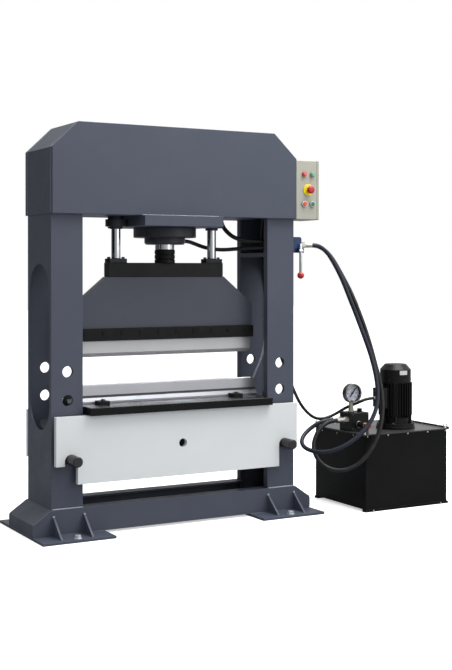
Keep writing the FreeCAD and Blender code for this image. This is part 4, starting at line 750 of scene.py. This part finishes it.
# dark seal between the box and its door, round the three edges that are seen
bm = bmesh.new()
for lo, hi in (((789.2, -180.6, 1516), (790.6, -179.4, 1818)), ((789.2, -178, 1513.4), (790.6, -6, 1514.6)), ((789.2, -178, 1819.4), (790.6, -6, 1820.6))):
    a, b = P(*lo), P(*hi)
    bmesh.ops.create_cube(bm, size=1.0, matrix=Matrix.Translation((a + b) / 2) @ Matrix.Diagonal((b.x - a.x, b.y - a.y, b.z - a.z, 1.0)))
seal = obj_from(bm, "box_door_seal", BLACKP, "frame")

# two quarter-turn locks on the door
bm = bmesh.new()
for z in (1585, 1749):
    at = P(804, -166, z)
    lathe(bm, [(9.5, 0), (9.5, 2.0), (8.5, 3.0)], at, (1, 0, 0), 32)
    for v in ((-1.2, -6.5), (1.2, 6.5)):
        pass
    bmesh.ops.create_cube(bm, size=1.0, matrix=Matrix.Translation(at + Vector((0.0042, 0, 0))) @ Matrix.Diagonal((0.0030, 0.0032, 0.0130, 1.0)))
locks = obj_from(bm, "box_door_locks", BLACKP, "box_door")
smooth_by_angle(locks, 30)

# ------------------------------------------------------------------ gauge dial
gx, gy, gz = 988.0, -230.0, 608.0
DIAL = Mat("dial_enamel")
DIAL.set(Base_Color=DIAL.ramp(DIAL.noise(60.0, 3.0), [(0.3, srgb(202, 205, 216)), (0.7, srgb(216, 219, 228))]),
         Roughness=DIAL.rng(DIAL.noise(120.0), 0.3, 0.7, 0.35, 0.5))
DIAL.bump(DIAL.noise(500.0), 0.05, 0.0002)
bm = bmesh.new()
lathe(bm, [(44.6, 0), (44.6, 1.0), (44.2, 1.4)], P(gx, gy + 19.6, gz), (0, -1, 0), 64)
dial = obj_from(bm, "gauge_dial", DIAL.m, "frame")

INK = plastic("dial_ink", (34, 40, 66), 0.5)
bm = bmesh.new()


def tick(target, ang, r0, r1, w, depth=18.05):
    """A printed mark on the dial, ang clockwise from the top."""
    a = math.radians(ang)
    d = Vector((math.sin(a), 0, math.cos(a)))
    s = Vector((math.cos(a), 0, -math.sin(a)))
    c = P(gx, gy + depth, gz)
    vs = [c + d * (r0 / 1000) - s * (w / 2000), c + d * (r0 / 1000) + s * (w / 2000),
          c + d * (r1 / 1000) + s * (w / 2000), c + d * (r1 / 1000) - s * (w / 2000)]
    front = [target.verts.new(v) for v in vs]
    back = [target.verts.new(v + Vector((0, 0.0002, 0))) for v in vs]
    target.faces.new(front)
    target.faces.new(list(reversed(back)))
    for i in range(4):
        target.faces.new((front[i], back[i], back[(i + 1) % 4], front[(i + 1) % 4]))


for k in range(61):
    ang = -135 + 270 * k / 60.0
    if k % 10 == 0:
        tick(bm, ang, 33, 41, 1.1)
    elif k % 5 == 0:
        tick(bm, ang, 36, 41, 0.8)
    else:
        tick(bm, ang, 38.5, 41, 0.45)
marks = obj_from(bm, "gauge_marks", INK, "frame")

for k in range(7):
    ang = math.radians(-135 + 45 * k)
    txt = bpy.data.curves.new("dial_number_%d" % k, "FONT")
    txt.body = str(100 * k)
    txt.size = 0.0072
    txt.align_x = "CENTER"
    txt.align_y = "CENTER"
    txt.extrude = 0.00008
    t = bpy.data.objects.new("dial_number_%d" % k, txt)
    bpy.context.scene.collection.objects.link(t)
    t.location = P(gx + 27 * math.sin(ang), gy + 18.0, gz + 27 * math.cos(ang))
    t.rotation_euler = (math.radians(90), 0, 0)
    txt.materials.append(INK)
    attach(t, "frame")

GLASS = Mat("gauge_glass")
GLASS.set(Base_Color=GLASS.ramp(GLASS.noise(8.0), [(0.3, (0.96, 0.97, 0.98)), (0.7, (1.0, 1.0, 1.0))]),
          Roughness=GLASS.rng(GLASS.noise(20.0), 0.3, 0.7, 0.01, 0.05))
GLASS.b.inputs["Transmission Weight"].default_value = 1.0
GLASS.b.inputs["IOR"].default_value = 1.02
GLASS.b.inputs["Specular IOR Level"].default_value = 0.5
GLASS.b.inputs["Alpha"].default_value = 0.22
bm = bmesh.new()
lathe(bm, [(44.8, 0), (44.8, 1.2), (44.2, 1.8), (30, 2.1)], P(gx, gy + 4.6, gz), (0, -1, 0), 64)
glass = obj_from(bm, "gauge_glass", GLASS.m, "frame")
smooth_by_angle(glass, 30)
bm = bmesh.new()
rot = frame_to((0, -1, 0))
prof = [(50.0, -3.0), (50.6, -1.0), (50.2, 1.2), (48.0, 2.4), (45.6, 1.6), (45.0, -0.6), (45.0, -3.0)]
rings = []
for r, h in prof:
    row = []
    for k in range(72):
        a = 2 * math.pi * k / 72
        row.append(bm.verts.new(P(gx, gy, gz) + rot @ Vector((r / 1000 * math.cos(a), r / 1000 * math.sin(a), h / 1000))))
    rings.append(row)
for a, b in zip(rings[:-1], rings[1:]):
    for k in range(72):
        bm.faces.new((a[k], a[(k + 1) % 72], b[(k + 1) % 72], b[k]))
BEZEL = metal("gauge_bezel_polished", (158, 152, 152), rough=0.26, grain=(1, 1, 1), depth=0.03, spread=0.04, stain=0.05)
bezel = obj_from(bm, "gauge_bezel", BEZEL, "frame")
smooth_by_angle(bezel, 50)

# ------------------------------------------------------------------ manifold details
bm = bmesh.new()
rot = frame_to((0, -1, 0))
prof = [(18.4, 0.0), (18.4, 3.2), (17.4, 4.2), (15.4, 4.2), (15.2, 3.0), (15.2, 0.0)]
rings = []
for r, h in prof:
    row = []
    for k in range(48):
        a = 2 * math.pi * k / 48
        row.append(bm.verts.new(P(1010, -245.6, 447) + rot @ Vector((r / 1000 * math.cos(a), r / 1000 * math.sin(a), h / 1000))))
    rings.append(row)
for a, b in zip(rings, rings[1:] + rings[:1]):
    for k in range(48):
        bm.faces.new((a[k], a[(k + 1) % 48], b[(k + 1) % 48], b[k]))
port = obj_from(bm, "manifold_port_ring", BEZEL, "frame")
smooth_by_angle(port, 40)
OLIVE = metal("yellow_zinc_plate", (150, 142, 96), rough=0.32, grain=(1, 1, 1), depth=0.06, spread=0.10, stain=0.2, stain_rgb=(110, 96, 60))
bm = bmesh.new()
bolt(bm, P(1010, -297, 447), (0, -1, 0), 16.4, 9.0, hexagon=True, turn=0.3)
locknut = obj_from(bm, "relief_lock_nut", OLIVE, "frame")
bm = bmesh.new()
for x, z in ((975, 495), (1067, 495), (1067, 421), (975, 421)):
    bolt(bm, P(x, -240, z), (0, -1, 0), 5.0, 3.2, hexagon=False)
man_bolts = obj_from(bm, "manifold_screws", BOLT, "frame")

# screws of the lever valve and two small black knobs at the lid's left edge
bm = bmesh.new()
bolt(bm, P(711.6, -148, 1388), (0, -1, 0), 3.8, 3.4, hexagon=False)
for x, z in ((670, 1414), (670, 1356)):
    bolt(bm, P(x, -148, z), (0, -1, 0), 4.4, 3.2, hexagon=False)
bolt(bm, P(686, -162, 1352), (-1, 0, 0), 4.6, 2.6, hexagon=False)
valve_screws = obj_from(bm, "valve_screws", BOLT, "frame")
bm = bmesh.new()
for x, y in ((968, 72), (966, 20)):
    lathe(bm, [(4.5, 0), (4.5, 5), (9.0, 7), (10.0, 12), (9.0, 17), (5.0, 19.5)], P(x, y, 411), (0, 0, 1), 28)
knobs = obj_from(bm, "lid_knobs", BLACKP, "frame")
smooth_by_angle(knobs, 40)

# ------------------------------------------------------------------ stage and light
floor_mat = Mat("pale_floor")
lit = floor_mat.n("ShaderNodeLightPath")
shade = floor_mat.mix(lit.outputs["Is Camera Ray"], srgb(148, 149, 152), floor_mat.ramp(floor_mat.noise(0.8, 2.0), [(0.3, (0.90, 0.90, 0.90)), (0.7, (0.93, 0.93, 0.93))]))
floor_mat.set(Base_Color=shade,
              Roughness=floor_mat.rng(floor_mat.noise(3.0), 0.3, 0.7, 0.75, 0.85))
floor_mat.b.inputs["Emission Color"].default_value = (1.0, 1.0, 1.0, 1.0)
floor_mat.link(floor_mat.math("MULTIPLY", lit.outputs["Is Camera Ray"], 0.52), floor_mat.b.inputs["Emission Strength"])
bm = bmesh.new()
bmesh.ops.create_grid(bm, x_segments=8, y_segments=8, size=30.0)
me = bpy.data.meshes.new("studio_floor")
bm.to_mesh(me)
bm.free()
floor = bpy.data.objects.new("studio_floor", me)
floor.location = (0, 0, -0.0004)
me.materials.append(floor_mat.m)
bpy.context.scene.collection.objects.link(floor)

world = bpy.data.worlds.new("studio")
bpy.context.scene.world = world
world.use_nodes = True
wt = world.node_tree
bg = wt.nodes["Background"]
bg.inputs[0].default_value = (1.0, 1.0, 1.0, 1.0)
bg.inputs[1].default_value = 0.58
# more light from above and from the front right than from the left
way = wt.nodes.new("ShaderNodeTexCoord")
part = wt.nodes.new("ShaderNodeSeparateXYZ")
wt.links.new(way.outputs["Generated"], part.inputs[0])
level = None
for axis, gain in ((0, 0.39), (1, -0.22), (2, 0.70)):
    mul = wt.nodes.new("ShaderNodeMath")
    mul.operation = "MULTIPLY_ADD"
    wt.links.new(part.outputs[axis], mul.inputs[0])
    mul.inputs[1].default_value = gain
    if level is None:
        mul.inputs[2].default_value = 0.44
    else:
        wt.links.new(level, mul.inputs[2])
    level = mul.outputs[0]
floor_level = wt.nodes.new("ShaderNodeMath")
floor_level.operation = "MAXIMUM"
floor_level.inputs[1].default_value = 0.10
wt.links.new(level, floor_level.inputs[0])
wt.links.new(floor_level.outputs[0], bg.inputs[1])
seen = wt.nodes.new("ShaderNodeBackground")
seen.inputs[0].default_value = (1.0, 1.0, 1.0, 1.0)
seen.inputs[1].default_value = 1.0
path = wt.nodes.new("ShaderNodeLightPath")
choose = wt.nodes.new("ShaderNodeMixShader")
wt.links.new(path.outputs["Is Camera Ray"], choose.inputs[0])
wt.links.new(bg.outputs[0], choose.inputs[1])
wt.links.new(seen.outputs[0], choose.inputs[2])
wt.links.new(choose.outputs[0], wt.nodes["World Output"].inputs[0])

bpy.context.scene.view_settings.view_transform = "Standard"
bpy.context.scene.view_settings.look = "None"


def area(name, loc, target, size, power, colour=(1, 1, 1)):
    li = bpy.data.lights.new(name, "AREA")
    li.shape = "RECTANGLE"
    li.size, li.size_y = size
    li.energy = power
    li.color = colour
    ob = bpy.data.objects.new(name, li)
    bpy.context.scene.collection.objects.link(ob)
    ob.location = loc
    ob.rotation_euler = (Vector(target) - Vector(loc)).to_track_quat("-Z", "Y").to_euler()
    return ob


area("key_soft", (2.6, -6.0, 2.6), (0.0, 0.0, 0.9), (3.5, 2.5), 52)
area("top_soft", (1.4, -1.0, 5.0), (0.0, 0.0, 0.0), (4.0, 3.0), 310)
